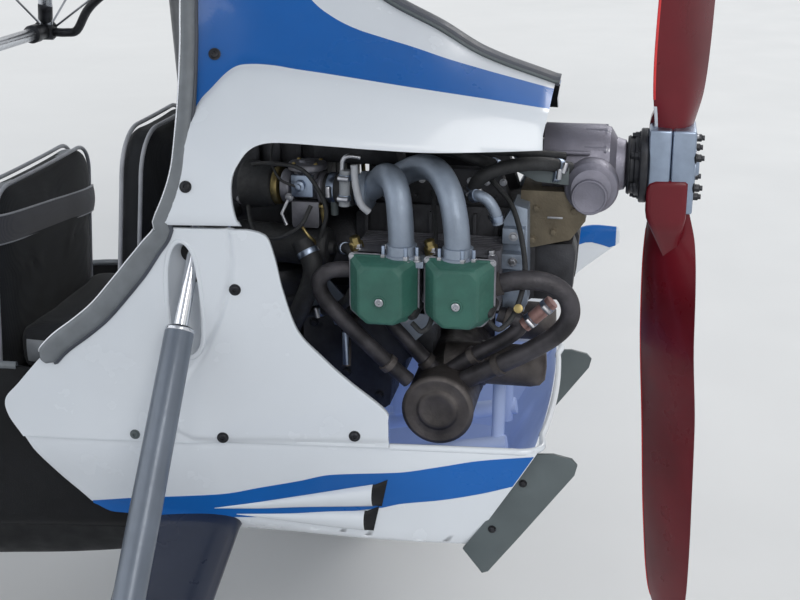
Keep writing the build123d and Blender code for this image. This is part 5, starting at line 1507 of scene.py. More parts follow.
def make_wheel(name, body, place, tread_blocks):
    """A tyre with grooves and bead lines, and a two-part alloy rim with bolts and a valve."""
    kit = Kit()
    half = 0.050
    profile = [(0.107, -0.0440), (0.115, -0.0470), (0.122, -0.0478), (0.124, -0.0492), (0.128, -0.0492), (0.130, -0.0480),
               (0.150, -0.0498), (0.165, -0.0490), (0.179, -0.0430), (0.190, -0.0345), (0.1965, -0.0255)]
    for i in range(TREAD_GROOVES):
        y = -0.018 + 0.018 * i
        profile += [(0.1985, y - 0.0035), (0.1935, y - 0.0022), (0.1935, y + 0.0022), (0.1990, y + 0.0035)]
    profile += [(r, -y) for r, y in profile[10::-1]]
    axis = (0, 1, 0)
    kit.lathe([(r, h) for r, h in profile], place, axis, "tyre", 96)
    inner = [(0.107, 0.044), (0.111, 0.036), (0.150, 0.040), (0.186, 0.020), (0.186, -0.020), (0.150, -0.040),
             (0.111, -0.036), (0.107, -0.044)]
    kit.lathe(inner, place, axis, "tyre", 48)
    kit.make(f"{body}_tread", body, angle=34, replaces=[f"{name}_tyre"], slot="tyre")
    rim = Kit()
    outer = [(0.030, 0.055), (0.030, 0.020), (0.034, 0.012), (0.060, 0.009), (0.082, 0.010), (0.094, 0.014), (0.099, 0.030),
             (0.101, 0.045), (0.1035, 0.049), (0.1065, 0.049), (0.1065, 0.045), (0.105, 0.040), (0.105, 0.0)]
    rim.lathe(outer, place, axis, "alloy", 64)
    rim.lathe([(r, -h) for r, h in outer][::-1], place, axis, "alloy", 64)
    rim.lathe([(0.0121, -0.055), (0.030, -0.055)], place, axis, "alloy", 48)
    rim.lathe([(0.030, 0.055), (0.0121, 0.055)], place, axis, "alloy", 48)
    rim.lathe([(0.0121, 0.055), (0.0121, -0.055)], place, axis, "alloy", 48)
    holes = Kit()
    for i in range(5):
        turn = 2 * math.pi * i / 5 + math.pi / 2
        centre = Vector(place) + Vector((0.067 * math.cos(turn), -0.03, 0.067 * math.sin(turn)))
        holes.lathe([(0.0165, 0), (0.0165, 0.06)], centre, axis, "alloy", 28)
    rim.make(f"{body}_rim_halves", body, bevel=0.0012, angle=35, replaces=[f"{name}_rim"], slot="rim_alloy",
             cutters=[holes.cutter()])
    bits = Kit()
    for i in range(5):
        turn = 2 * math.pi * (i + 0.5) / 5 + math.pi / 2
        for side in (1, -1):
            here = Vector(place) + Vector((0.058 * math.cos(turn), side * 0.009, 0.058 * math.sin(turn)))
            bits.hex(here, (0, side, 0), "steel", 0.0055, 0.006)
    for side in (1, -1):
        bits.lathe([(0.0125, 0.0), (0.024, 0.0), (0.024, 0.0022), (0.0125, 0.0026)], Vector(place) + Vector((0, side * 0.0550, 0)),
                   (0, side, 0), "rubber", 36)
    stem = Vector(place) + Vector((0.086, 0.016, 0.0))
    bits.tube([stem, stem + Vector((-0.004, 0.014, 0)), stem + Vector((-0.016, 0.026, 0))], 0.0032, "rubber", 12)
    bits.lathe([(0.0036, 0), (0.0036, 0.009), (0.0026, 0.011), (0, 0.011)], stem + Vector((-0.016, 0.026, 0)), (-0.75, 0.65, 0),
               "black", 12)
    bits.make(f"{body}_bolts", body, bevel=0.0003, angle=40)
    return half


def make_wheels():
    make_wheel("wheel_left", "wheel_left", at(MAIN_AXLE_S, HALF_TRACK, TYRE_R), 40)
    make_wheel("wheel_right", "wheel_right", at(MAIN_AXLE_S, -HALF_TRACK, TYRE_R), 40)
    make_wheel("front_wheel", "front_wheel", at(NOSE_AXLE_S, 0, TYRE_R), 40)


# Spats

SPAT_Z = curve_of([(0.08, 0.750), (0.16, 0.716), (0.30, 0.588), (0.535, 0.378), (0.76, 0.282), (0.965, 0.262), (1.07, 0.265)])
SPAT_HALF_Y = curve_of([(0.08, 0.008), (0.30, 0.034), (0.535, 0.062), (0.76, 0.080), (0.965, 0.064), (1.07, 0.020)])
SPAT_HALF_Z = curve_of([(0.08, 0.018), (0.16, 0.050), (0.30, 0.080), (0.535, 0.126), (0.76, 0.172), (0.965, 0.122), (1.07, 0.032)])


# How far the blue band reaches round the spat to each side of its ridge
BAND_WIDE = curve_of([(0.088, 0.46), (0.12, 0.27), (0.16, 0.21), (0.30, 0.17), (0.55, 0.10), (0.700, 0.004)])


def spat_ring(s, y_mid, grow=0.0, low=0.0, high=1.0, count=44):
    """Points round a spat's section, from its belly round the outer side, or a part of the way."""
    ring = []
    for share in steps(low, high, count + 1)[:-1] if high - low > 0.99 else steps(low, high, count):
        a = 2 * math.pi * share - math.pi / 2
        c, d = math.cos(a), math.sin(a)
        half_y, half_z = SPAT_HALF_Y(s) + grow, SPAT_HALF_Z(s) + grow
        ring.append(at(s, y_mid + half_y * math.copysign(abs(c) ** 0.80, c), SPAT_Z(s) + half_z * math.copysign(abs(d) ** 0.85, d)))
    return ring


def make_spats():
    kit = Kit()
    stations = [0.080, 0.084, 0.092] + steps(0.105, 1.04, 56) + [1.052, 1.061, 1.067, 1.070]
    rows = [spat_ring(s, HALF_TRACK) for s in stations]
    kit.grid([list(reversed(row)) for row in rows], "white", closed=True)
    kit.fan(rows[0], "white", flip=False)
    kit.fan(rows[-1], "white", flip=True)
    kit.mirror()
    cutters = []
    for side in (1, -1):
        well = Kit()
        outline = [(MAIN_AXLE_S + 0.214 * math.cos(a), TYRE_R + 0.214 * math.sin(a)) for a in steps(0, math.pi, 40)]
        outline += [(MAIN_AXLE_S - 0.207, 0.0), (MAIN_AXLE_S + 0.207, 0.0)]
        low, high = sorted((side * (HALF_TRACK - 0.062), side * (HALF_TRACK + 0.062)))
        well.side(outline, low, high, "black")
        cutters.append(well.cutter())
        hole = Kit()
        low, high = sorted((side * (HALF_TRACK - 0.10), side * (HALF_TRACK - 0.05)))
        hole.lathe([(0.022, low), (0.022, high)], at(MAIN_AXLE_S, 0, TYRE_R), (0, 1, 0), "black", 32)
        cutters.append(hole.cutter())
    kit.make("spat_shells", "trike", bevel=0.0015, angle=48, replaces=["spats"], slot="white_shell", cutters=cutters)
    band = Kit()
    rows = []
    for s in steps(0.088, 0.700, 46):
        wide = BAND_WIDE(s)
        rows.append(spat_ring(s, HALF_TRACK, 0.0009, 0.5 - wide, 0.5 + wide, 26))
    band.grid([list(reversed(row)) for row in rows], "blue")
    band.mirror().make("spat_bands", "trike", angle=60, slot="blue_shell")
    bits = Kit()
    for s in (0.60, 0.92):
        for turn in (0.02, 0.48):
            a = 2 * math.pi * turn - math.pi / 2
            p = spat_ring(s, HALF_TRACK, 0.0, turn, turn + 0.3, 3)[0]
            bits.screw(p, (p.x * 0 + 0, math.cos(a), math.sin(a)), "steel", 0.005, 0.003)
    bits.mirror().make("spat_screws", "trike", angle=40)


# Legs and struts

LEG_INSET = 0.108
LEG_SECTIONS = [
    # distance from the middle, station, height, chord, thickness
    (0.130, 0.742, 0.545, 0.185, 0.040), (0.280, 0.742, 0.545, 0.185, 0.040),
    (HALF_TRACK - LEG_INSET, MAIN_AXLE_S, 0.232, 0.105, 0.034),
]
STRUT_TOP = (0.705, 0.262, 1.022)
STRUT_COLLAR = (0.7118, 0.3405, 0.9035)
STRUT_LOW = (MAIN_AXLE_S - 0.014, HALF_TRACK - LEG_INSET - 0.004, 0.302)


def make_legs():
    kit = Kit()
    rows = []
    for a, b in zip(LEG_SECTIONS, LEG_SECTIONS[1:]):
        for t in steps(0, 1, 10)[:-1] if b is not LEG_SECTIONS[-1] else steps(0, 1, 18):
            y, s, z, chord, thick = [u + (v - u) * t for u, v in zip(a, b)]
            ring = []
            for angle in steps(0, 2 * math.pi, 49)[:-1]:
                c, d = math.cos(angle), math.sin(angle)
                ring.append(at(s + chord / 2 * math.copysign(abs(c) ** 0.86, c), y,
                               z + thick / 2 * math.copysign(abs(d) ** 0.86, d) * (1 - 0.25 * c)))
            rows.append(ring)
    kit.grid(rows, "navy", closed=True)
    kit.fan(rows[0], "navy")
    kit.fan(rows[-1], "navy", flip=True)
    kit.lathe([(0.0125, 0.0), (0.036, 0.0), (0.044, 0.004), (0.045, 0.010), (0.045, 0.030), (0.036, 0.035), (0.0125, 0.035)],
              at(MAIN_AXLE_S, HALF_TRACK - LEG_INSET - 0.007, TYRE_R), (0, 1, 0), "navy", 44)
    kit.mirror().make("leg_fairings", "trike", bevel=0.001, angle=40, replaces=["leg_blades"], slot="navy_composite")
    plate = Kit()
    y, s, z, chord, thick = LEG_SECTIONS[-1]
    for ds in (-0.030, 0.030):
        plate.hex(at(s + ds, y - 0.007, TYRE_R + 0.002), (0, -1, 0), "steel", 0.006, 0.006)
    for ds in (-0.055, 0.0, 0.055):
        plate.hex(at(0.742 + ds, 0.215, 0.565), (0, 0, 1), "steel", 0.007, 0.007)
    plate.mirror().make("leg_bolts", "trike", bevel=0.0004, angle=40)


def make_struts():
    top, collar, low = at(*STRUT_TOP), at(*STRUT_COLLAR), at(*STRUT_LOW)
    down = (low - collar).normalized()
    rod = Kit()
    along = (collar - top).normalized()
    length = (collar - top).length
    rod.lathe([(0.0, -0.012), (0.0105, -0.010), (0.012, 0.0), (0.0125, 0.030), (0.0105, 0.040), (0.0105, length)], top, along,
              "chrome", 36)
    rod.lathe([(0.0, 0.016), (0.012, 0.016), (0.016, 0.014), (0.0185, 0.010), (0.0185, -0.010), (0.016, -0.014),
               (0.012, -0.016), (0, -0.016)][::-1], top, (0, 0, 1), "bolt", 32)
    rod.hex(top + Vector((0, 0, 0.016)), (0, 0, 1), "steel", 0.008, 0.008)
    rod.mirror().make("damper_rods", "trike", bevel=0.0006, angle=40, replaces=["strut_rods"], slot="chrome")
    tube = Kit()
    reach = (low - collar).length
    tube.lathe([(0.0, -0.003), (0.0135, -0.003), (0.016, -0.002), (0.0205, 0.000), (0.0215, 0.002)], collar, down, "bolt", 40)
    tube.lathe([(0.0215, 0.001), (0.0226, 0.002), (0.0226, 0.006), (0.0215, 0.007)], collar, down, "polished", 40)
    tube.lathe([(0.0218, 0.006), (0.0224, 0.008), (0.0232, 0.15), (0.0240, 0.30), (0.0240, reach - 0.09), (0.0232, reach - 0.086),
                (0.0232, reach - 0.060), (0.0240, reach - 0.056), (0.0240, reach - 0.010), (0.020, reach), (0, reach)],
               collar, down, "strut", 44)
    foot = at(MAIN_AXLE_S - 0.010, HALF_TRACK - LEG_INSET + 0.004, 0.268)
    tube.tube([low - down * 0.004, foot], 0.0155, "strut", 28)
    tube.lathe([(0.0, -0.022), (0.018, -0.022), (0.020, -0.018), (0.020, 0.018), (0.018, 0.022), (0, 0.022)],
               low + down * 0.016, (1, 0, 0), "bolt", 32)
    tube.hex(low + down * 0.016 + Vector((0.022, 0, 0)), (1, 0, 0), "steel", 0.008, 0.007)
    tube.mirror().make("damper_bodies", "trike", bevel=0.0006, angle=40, replaces=["strut_cylinders"], slot="strut_paint")


# Nose wheel fork

FORK_LEG_Y = 0.074
MUDGUARD_R = 0.222
RAKE = math.tan(math.radians(18))
STEER_GROUND_S = 2.490


def steer(z):
    return at(STEER_GROUND_S - z * RAKE, 0, z)


def make_fork():
    kit = Kit()
    crown = steer(0.458)
    axle = at(NOSE_AXLE_S, 0, TYRE_R)
    for y in (FORK_LEG_Y, -FORK_LEG_Y):
        out = Vector((0, y, 0))
        kit.tube([axle + out, axle + out + (crown - axle) * 0.45, crown + out],
                 lambda t: 0.0125 + 0.003 * min(t * 3, 1), "frame", 28)
        kit.lathe([(0.0, -0.013), (0.018, -0.013), (0.020, -0.010), (0.020, 0.010), (0.018, 0.013), (0, 0.013)],
                  axle + out, (0, 1, 0), "frame", 32)
        turn = 1 if y > 0 else -1
        kit.hex(axle + out + Vector((0, turn * 0.013, 0)), (0, turn, 0), "steel", 0.009, 0.009)
        for z in (0.012, -0.012):
            kit.band(crown + out + Vector((0, 0, z)), crown - axle, 0.0158, "bolt", 0.008)
    kit.lathe([(0.0, -FORK_LEG_Y - 0.012), (0.017, -FORK_LEG_Y - 0.010), (0.018, -FORK_LEG_Y), (0.018, FORK_LEG_Y),
               (0.017, FORK_LEG_Y + 0.010), (0, FORK_LEG_Y + 0.012)], crown, (0, 1, 0), "frame", 32)
    kit.tube([steer(0.445), steer(0.66)], 0.016, "steel", 32)
    up = (crown - axle).normalized()
    kit.tube([axle + up * (MUDGUARD_R + 0.002), crown], 0.0135, "frame", 24)
    kit.lathe([(0.0, -0.092), (0.010, -0.092), (0.010, 0.092), (0, 0.092)], axle, (0, 1, 0), "steel", 24)
    kit.make("fork_tubes", "fork", bevel=0.0008, angle=40, replaces=["fork"], slot="fork_paint")
    guard = Kit()
    rows = []
    for a in steps(27, 152, 40):
        turn = math.radians(a)
        out = Vector((math.cos(turn), 0, math.sin(turn)))
        row = []
        for share in steps(-1, 1, 17):
            drop = 0.018 * abs(share) ** 4
            row.append(axle + out * (MUDGUARD_R + 0.002 - drop) + Vector((0, 0.058 * share, 0)))
        rows.append(row)
    guard.grid(rows, "black")
    guard.make("mudguard_skin", "fork", thick=0.003, bevel=0.0008, angle=50, replaces=["mudguard"], slot="black_composite")
    bar = Kit()
    middle = steer(0.625)
    bar.tube([middle + Vector((0, -0.170, 0)), middle + Vector((0, 0.170, 0))], 0.0125, "alloy", 28)
    for side in (1, -1):
        rows = []
        kit_path = steps(0.092, 0.184, 24)
        for i, y in enumerate(kit_path):
            r = 0.0180 if i % 2 else 0.0165
            if i in (0, 23):
                r = 0.014
            rows.append([middle + Vector((r * math.cos(a), side * y, r * math.sin(a))) for a in steps(0, 2 * math.pi, 29)[:-1]])
        if side > 0:
            rows = [list(reversed(row)) for row in rows]
        bar.grid([list(reversed(row)) for row in rows], "rubber", closed=True)
        bar.fan(rows[0], "rubber")
        bar.fan(rows[-1], "rubber", flip=True)
    bar.lathe([(0.0161, -0.024), (0.025, -0.024), (0.027, -0.021), (0.027, 0.021), (0.025, 0.024), (0.0161, 0.024)], middle,
              steer(0.7) - steer(0.5), "alloy", 36)
    bar.hex(middle + Vector((0.027, 0, -0.008)), (1, 0, 0), "steel", 0.006, 0.006)
    bar.make("foot_bar_grips", "fork", bevel=0.0006, angle=40, replaces=["foot_bar"], slot="machined_alloy")


# Seats

SEAT_VOXEL = 0.005
SEAT_PRESSURE = 4.0
SEAT_SWELL = 0.012
BAND_MID_Z = 0.978
BAND_SLOPE = 0.11
BAND_HALF = 0.024


def swelled(obj, cap):
    """Inflates a closed padded form with the cloth solver, and keeps each point within cap of where it began."""
    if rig.quick():
        return
    remesh = obj.modifiers.new("even", "REMESH")
    remesh.mode = "VOXEL"
    remesh.voxel_size = SEAT_VOXEL * 1.6
    scene = bpy.context.scene
    graph = bpy.context.evaluated_depsgraph_get()
    fine = bpy.data.meshes.new_from_object(obj.evaluated_get(graph))
    obj.modifiers.clear()
    keys = [m for m in obj.data.materials]
    obj.data = fine
    if not fine.materials:
        for m in keys:
            fine.materials.append(m)
    start = [v.co.copy() for v in fine.vertices]
    fabric = obj.modifiers.new("fabric", "CLOTH")
    fabric.settings.use_pressure = True
    fabric.settings.uniform_pressure_force = SEAT_PRESSURE
    fabric.settings.effector_weights.gravity = 0
    fabric.settings.quality = 4
    fabric.point_cache.frame_start = 1
    fabric.point_cache.frame_end = 20
    for frame_number in range(1, 21):
        scene.frame_set(frame_number)
    graph = bpy.context.evaluated_depsgraph_get()
    puffed = bpy.data.meshes.new_from_object(obj.evaluated_get(graph))
    obj.modifiers.clear()
    obj.data = puffed
    scene.frame_set(1)
    for vertex, was in zip(puffed.vertices, start):
        move = vertex.co - was
        if move.length > cap:
            vertex.co = was + move.normalized() * cap


def pad_outline(half_wide, half_tall, corner, pinch, count=22):
    """A rounded rectangle whose sides pull in between its corners, as (across, up) points."""
    line = []
    for quarter, (a_sign, b_sign) in enumerate(((1, 1), (-1, 1), (-1, -1), (1, -1))):
        for i in range(count):
            turn = math.radians(90 * (quarter + i / (count - 1)))
            line.append((a_sign * (half_wide - corner) + corner * math.cos(turn),
                         b_sign * (half_tall - corner) + corner * math.sin(turn)))
    fine = []
    for (a0, b0), (a1, b1) in zip(line, line[1:] + line[:1]):
        parts = 1 + int(math.hypot(a1 - a0, b1 - b0) / 0.02)
        fine += [(a0 + (a1 - a0) * i / parts, b0 + (b1 - b0) * i / parts) for i in range(parts)]
    return [(a - math.copysign(pinch * max(0.0, 1 - (b / half_tall) ** 2) ** 0.5, a) * abs(a / half_wide) ** 6,
             b - math.copysign(pinch * max(0.0, 1 - (a / half_wide) ** 2) ** 0.5, b) * abs(b / half_tall) ** 6)
            for a, b in fine]


def pad(name, low, high, flat_axis, corner, crown, lean=0.0, seams=(), cap=SEAT_SWELL, pinch=0.005):
    """A cushion between two corners (station, y, z), thin along flat_axis, with a grey gusset round its edge.

    seams are sewn channels: (share up the pad, depth). lean turns it back about its lower edge.
    """
    low, high = Vector(low), Vector(high)
    size, middle = high - low, (low + high) / 2
    standing = flat_axis == "x"
    half_thick = (size.x if standing else size.z) / 2
    half_wide = size.y / 2
    half_tall = (size.z if standing else size.x) / 2
    outline = pad_outline(half_wide, half_tall, corner, pinch)

    def place(a, b, out):
        for share, deep in seams:
            gap = abs(b / half_tall * 0.5 + 0.5 - share) * 2 * half_tall
            if gap < 0.014:
                out -= math.copysign(deep * (1 - gap / 0.014) ** 1.5, out)
        return Vector((out, a, b)) if standing else Vector((b, a, out))

    kit = Kit()
    shares = [0.03, 0.15, 0.3, 0.45, 0.6, 0.72, 0.82, 0.90, 0.95, 0.975]
    rings = []
    for way, order in ((-1, shares), (1, shares[::-1])):
        for share in order:
            out = way * (half_thick * (0.86 if share > 0.96 else 0.96) + crown * (1 - share ** 2.6))
            rings.append([place(a * share, b * share, out) for a, b in outline])
        if way < 0:
            for share, out in ((0.992, -0.62), (1.0, -0.3), (1.0, 0.3), (0.992, 0.62)):
                rings.append([place(a * share, b * share, out * half_thick) for a, b in outline])
    kit.grid(rings, "seat", closed=True)
    kit.fan(rings[0], "seat")
    kit.fan(rings[-1], "seat", flip=True)
    mesh = bpy.data.meshes.new(name)
    mesh.from_pydata(kit.points, [], kit.faces)
    mesh.materials.append(M["seat"])
    obj = bpy.data.objects.new(name, mesh)
    bpy.context.collection.objects.link(obj)
    swelled(obj, cap)
    mesh = obj.data
    if len(mesh.materials) < 1:
        mesh.materials.append(M["seat"])
    mesh.materials.append(M["gusset"])
    for face in mesh.polygons:
        a, b = face.center.y, (face.center.z if standing else face.center.x)
        out = abs(face.center.x if standing else face.center.z)
        near_edge = max(abs(a) / half_wide, abs(b) / half_tall)
        over_corner = math.hypot(max(abs(a) - half_wide + corner, 0), max(abs(b) - half_tall + corner, 0))
        rim = near_edge > 0.955 or over_corner > corner * 0.93
        face.material_index = 1 if rim and out < half_thick * 0.92 else 0
    turn = Matrix.Rotation(math.radians(-lean), 4, "Y")
    foot = Vector((0, 0, size.z / 2 if standing else 0))
    rest = at(middle.x, middle.y, low.z if standing else middle.z)
    for vertex in mesh.vertices:
        vertex.co = rest + turn @ (vertex.co + foot)
    smoother = obj.modifiers.new("round", "SUBSURF")
    smoother.levels = smoother.render_levels = 1
    graph = bpy.context.evaluated_depsgraph_get()
    final = bpy.data.meshes.new_from_object(obj.evaluated_get(graph))
    obj.modifiers.clear()
    obj.data = final
    final.name = name
    final.polygons.foreach_set("use_smooth", [True] * len(final.polygons))
    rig.ride(obj, "trike")
    if standing:
        piping = Kit()
        for out in (-0.74, 0.74):
            line = [rest + turn @ (Vector((out * half_thick, a * 0.997, b * 0.997)) + foot) for a, b in outline[::2]]
            piping.tube(line + line[:2], 0.0036, "piping", 10, caps=False)
        piping.make(f"{name}_piping", "trike", angle=60)
    return obj


def make_seats():
    backs = [
        # name, node, low corner, high corner, corner radius, lean
        ("front_back_pad", "front_seat_back", (1.086, -0.203, 0.616), (1.130, 0.203, 1.069), 0.062, 3),
        ("rear_back_pad", "rear_seat_back", (0.857, -0.155, 0.752), (0.901, 0.155, 1.165), 0.075, 5),
    ]
    for name, node, low, high, corner, lean in backs:
        made = pad(name, low, high, "x", corner, 0.006, lean, seams=((0.66, 0.0035), (0.30, 0.003)), cap=0.006)
        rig.replaces(made, node)
        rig.slot(made, "seat_cloth")
        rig.padded(made, 0.75)
    bases = [
        ("front_seat_pad", "front_seat_base", (1.147, -0.182, 0.612), (1.523, 0.182, 0.680), 0.045),
        ("rear_seat_pad", "rear_seat_base", (0.911, -0.178, 0.747), (1.066, 0.178, 0.818), 0.030),
    ]
    for name, node, low, high, corner in bases:
        made = pad(name, low, high, "z", corner, 0.006, seams=((0.5, 0.003),), cap=0.006)
        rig.replaces(made, node)
        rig.slot(made, "seat_cloth")
        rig.padded(made, 0.7)
    band = Kit()
    low, lean, half = (1.086, 0.612), math.radians(3), 0.200
    rows = []
    for up in steps(-1, 1, 7):
        row = []
        for y in steps(-half, half, 30):
            height = BAND_MID_Z - low[1] + BAND_SLOPE * y + BAND_HALF * up
            out = 0.0070 + 0.0035 * (1 - up * up) - 0.008 * abs(y / half) ** 8
            row.append(at(low[0] - height * math.sin(lean) - out * math.cos(lean), y,
                          low[1] + height * math.cos(lean) - out * math.sin(lean)))
        rows.append(row)
    band.grid(rows, "band")
    for up in (-1, 1):
        edge = rows[0 if up < 0 else -1]
        band.tube([p + Vector((-0.0005, 0, 0)) for p in edge], 0.0022, "piping", 8)
    band.make("seat_band", "trike", thick=0.002, angle=60)


# Pod

HULL_TABLE = [
    # station, belly half-width, belly z, chine half-width, chine z, rim half-width, rim z
    (0.722, 0.165, 0.440, 0.248, 0.520, 0.262, 0.690), (1.030, 0.200, 0.410, 0.266, 0.510, 0.288, 0.800),
    (1.400, 0.215, 0.390, 0.300, 0.490, 0.325, 0.735), (1.950, 0.190, 0.400, 0.285, 0.490, 0.312, 0.690),
    (2.300, 0.120, 0.474, 0.200, 0.540, 0.228, 0.660), (2.690, 0.020, 0.560, 0.045, 0.575, 0.055, 0.636),
]
NOSE_TABLE = [
    # station, rim half-width, rim z, shoulder half-width, shoulder z, top half-width, top z
    (1.420, 0.329, 0.738, 0.300, 1.000, 0.130, 1.190), (1.950, 0.316, 0.693, 0.268, 0.985, 0.120, 1.190),
    (2.150, 0.276, 0.678, 0.222, 0.890, 0.095, 1.040), (2.350, 0.219, 0.660, 0.170, 0.790, 0.070, 0.850),
    (2.600, 0.098, 0.644, 0.072, 0.700, 0.030, 0.722), (2.750, 0.020, 0.630, 0.014, 0.645, 0.006, 0.650),
]
HULL = [curve_of([(row[0], row[i]) for row in HULL_TABLE]) for i in range(1, 7)]
NOSE = [curve_of([(row[0], row[i]) for row in NOSE_TABLE]) for i in range(1, 7)]
COCKPIT_CUT = line_of([(0.650, 1.300), (0.741, 1.430), (0.800, 1.700), (1.010, 1.880), (1.400, 2.030)])
SCREEN_SILL_Z = 0.862


def hull_half(s, inset=0.0):
    """The left half of a hull section from the middle of its belly to its rim."""
    belly_y, belly_z, chine_y, chine_z, rim_y, rim_z = [f(s) for f in HULL]
    corners = [(0.0, belly_z), (belly_y * 0.55, belly_z), (belly_y, belly_z + 0.006), (chine_y * 0.985, chine_z - 0.012),
               (chine_y, chine_z + 0.012), ((chine_y + rim_y) / 2, (chine_z + rim_z) / 2), (rim_y, rim_z)]
    path = [(p.x, p.y) for p in smooth_path([(y, z, 0) for y, z in corners], 6)]
    return [(max(y - inset * (0.0 if y < 0.01 else 1.0), 0.0), z + inset * (1 - min(y / chine_y, 1.0))) for y, z in path]


def make_hull():
    stations = steps(0.722, 2.66, 70) + [2.672, 2.682, 2.690]
    rows = [[at(s, y, z) for y, z in hull_half(s)] for s in stations]
    kit = Kit()
    kit.grid(rows, "black")
    kit.mirror()
    nose = [rows[-1]] + [[at(2.690 + 0.010 * math.sin(t), p.y * math.cos(t), p.z) for p in rows[-1]] for t in steps(0.2, 1.5, 5)]
    cap = Kit()
    cap.grid(nose, "black")
    cap.mirror()
    kit.join(cap)
    cutters = []
    for side in (1, -1):
        hole = Kit()
        outline = [(0.742 + 0.1 * math.cos(a), 0.545 + 0.026 * math.sin(a)) for a in steps(0, 2 * math.pi, 33)[:-1]]
        low, high = sorted((side * 0.12, side * 0.36))
        hole.side(outline, low, high, "black")
        cutters.append(hole.cutter())
    socket = Kit()
    socket.lathe([(0.036, 0.0), (0.036, 0.26)], at(STEER_GROUND_S - 0.38 * RAKE, 0, 0.38), (-RAKE, 0, 1), "black", 32)
    cutters.append(socket.cutter())
    kit.make("hull_skin", "trike", thick=0.0065, inner="black", weld=0.0006, bevel=0.0012, angle=50,
             replaces=["under_hull"], slot="black_composite", cutters=cutters)
    rim = Kit()
    for side in (1, -1):
        line = [at(s, side * (HULL[4](s) - 0.003), HULL[5](s) + 0.001) for s in steps(1.012, 1.44, 26)]
        rim.tube(line, 0.0062, "edge", 14)
    rim.make("cockpit_rim", "trike", angle=60, slot="grey_tube")


def nose_half(s, proud=0.0):
    """The left half of a nose section, from its rim to the ridge, with how far round each point is."""
    rim_y, rim_z, shoulder_y, shoulder_z, top_y, top_z = [f(s) for f in NOSE]
    corners = [(rim_y + 0.004, rim_z - 0.012), ((rim_y + shoulder_y) / 2 + 0.010, (rim_z + shoulder_z) / 2),
               (shoulder_y, shoulder_z), ((shoulder_y + top_y) / 2 + 0.012, (shoulder_z + top_z) / 2 + 0.012),
               (top_y, top_z), (top_y * 0.5, top_z + 0.005), (0.0, top_z + 0.006)]
    path = [(p.x, p.y) for p in smooth_path([(y, z, 0) for y, z in corners], 8)]
    out = []
    for i, (y, z) in enumerate(path):
        a, b = path[max(i - 1, 0)], path[min(i + 1, len(path) - 1)]
        along = Vector((b[0] - a[0], b[1] - a[1])).normalized()
        out.append((max(y + along.y * proud, 0.0), z - along.x * proud))
    return out


def nose_patch(kit, key, lows, highs, wide, tall, proud=0.0):
    """A part of the nose's skin between a rear and a front line, each a function of the share round the section."""
    rows = []
    for v in steps(0, 1, tall):
        row = []
        for u in steps(0, 1, wide):
            s = lows(v) + (highs(v) - lows(v)) * u
            half = nose_half(s, proud)
            place = v * (len(half) - 1)
            i = min(int(place), len(half) - 2)
            f = place - i
            row.append(at(s, half[i][0] + (half[i + 1][0] - half[i][0]) * f, half[i][1] + (half[i + 1][1] - half[i][1]) * f))
        rows.append(row)
    kit.grid([list(reversed(row)) for row in rows], key)


def share_at(s, z):
    """How far round a nose section a height lies."""
    half = nose_half(s)
    for i, (a, b) in enumerate(zip(half, half[1:])):
        if a[1] <= z <= b[1]:
            return (i + (z - a[1]) / (b[1] - a[1])) / (len(half) - 1)
    return 1.0 if z > half[-2][1] else 0.0


def rear_edge(v):
    """The nose fairing's rear edge: the cockpit's cut-out below and the screen's foot above."""
    s = 1.5
    for _ in range(30):
        half = nose_half(s)
        i = min(int(v * (len(half) - 1)), len(half) - 2)
        s = 0.6 * s + 0.4 * COCKPIT_CUT(half[i][1])
    return max(s, 1.325)


def sill_edge(v):
    """Where the skin begins in front of the screen's foot, for shares above the sill."""
    for s in steps(1.80, 2.70, 181):
        if share_at(s, SCREEN_SILL_Z) >= v:
            return s
    return 2.70


def make_nose():
    nose_end = 2.745
    kit = Kit()
    split = 0.47
    rows = []
    for v in steps(0, 1, 60):
        row = []
        start = rear_edge(v)
        foot = sill_edge(v)
        low = start if v < share_at(1.82, SCREEN_SILL_Z) else max(start, foot)
        for u in steps(0, 1, 64):
            s = low + (nose_end - low) * (1 - (1 - u) ** 1.25)
            half = nose_half(s)
            place = v * (len(half) - 1)
            i = min(int(place), len(half) - 2)
            f = place - i
            row.append(at(s, half[i][0] + (half[i + 1][0] - half[i][0]) * f, half[i][1] + (half[i + 1][1] - half[i][1]) * f))
        rows.append(row)
    kit.grid(rows, "white")
    kit.mirror()
    kit.make("nose_skin", "trike", thick=0.006, inner="black", weld=0.0006, bevel=0.001, angle=50, replaces=["nose_fairing"],
             slot="white_shell")
    return split


def make_nose_stripe():
    kit = Kit()
    low = curve_of([(1.33, 0.700), (1.60, 0.712), (2.00, 0.700), (2.40, 0.668), (2.70, 0.640)])
    high = curve_of([(1.33, 0.725), (1.60, 0.790), (2.00, 0.800), (2.40, 0.722), (2.70, 0.6465)])
    rows = []
    for t in steps(0, 1, 9):
        row = []
        for s in steps(1.46, 2.70, 90):
            z = low(s) + (high(s) - low(s)) * t
            half = nose_half(s, 0.0012)
            place = share_at(s, z) * (len(half) - 1)
            i = min(int(place), len(half) - 2)
            f = place - i
            row.append(at(s, half[i][0] + (half[i + 1][0] - half[i][0]) * f, half[i][1] + (half[i + 1][1] - half[i][1]) * f))
        rows.append(row)
    kit.grid(rows, "blue")
    kit.mirror().make("nose_stripes", "trike", angle=60, slot="blue_shell")


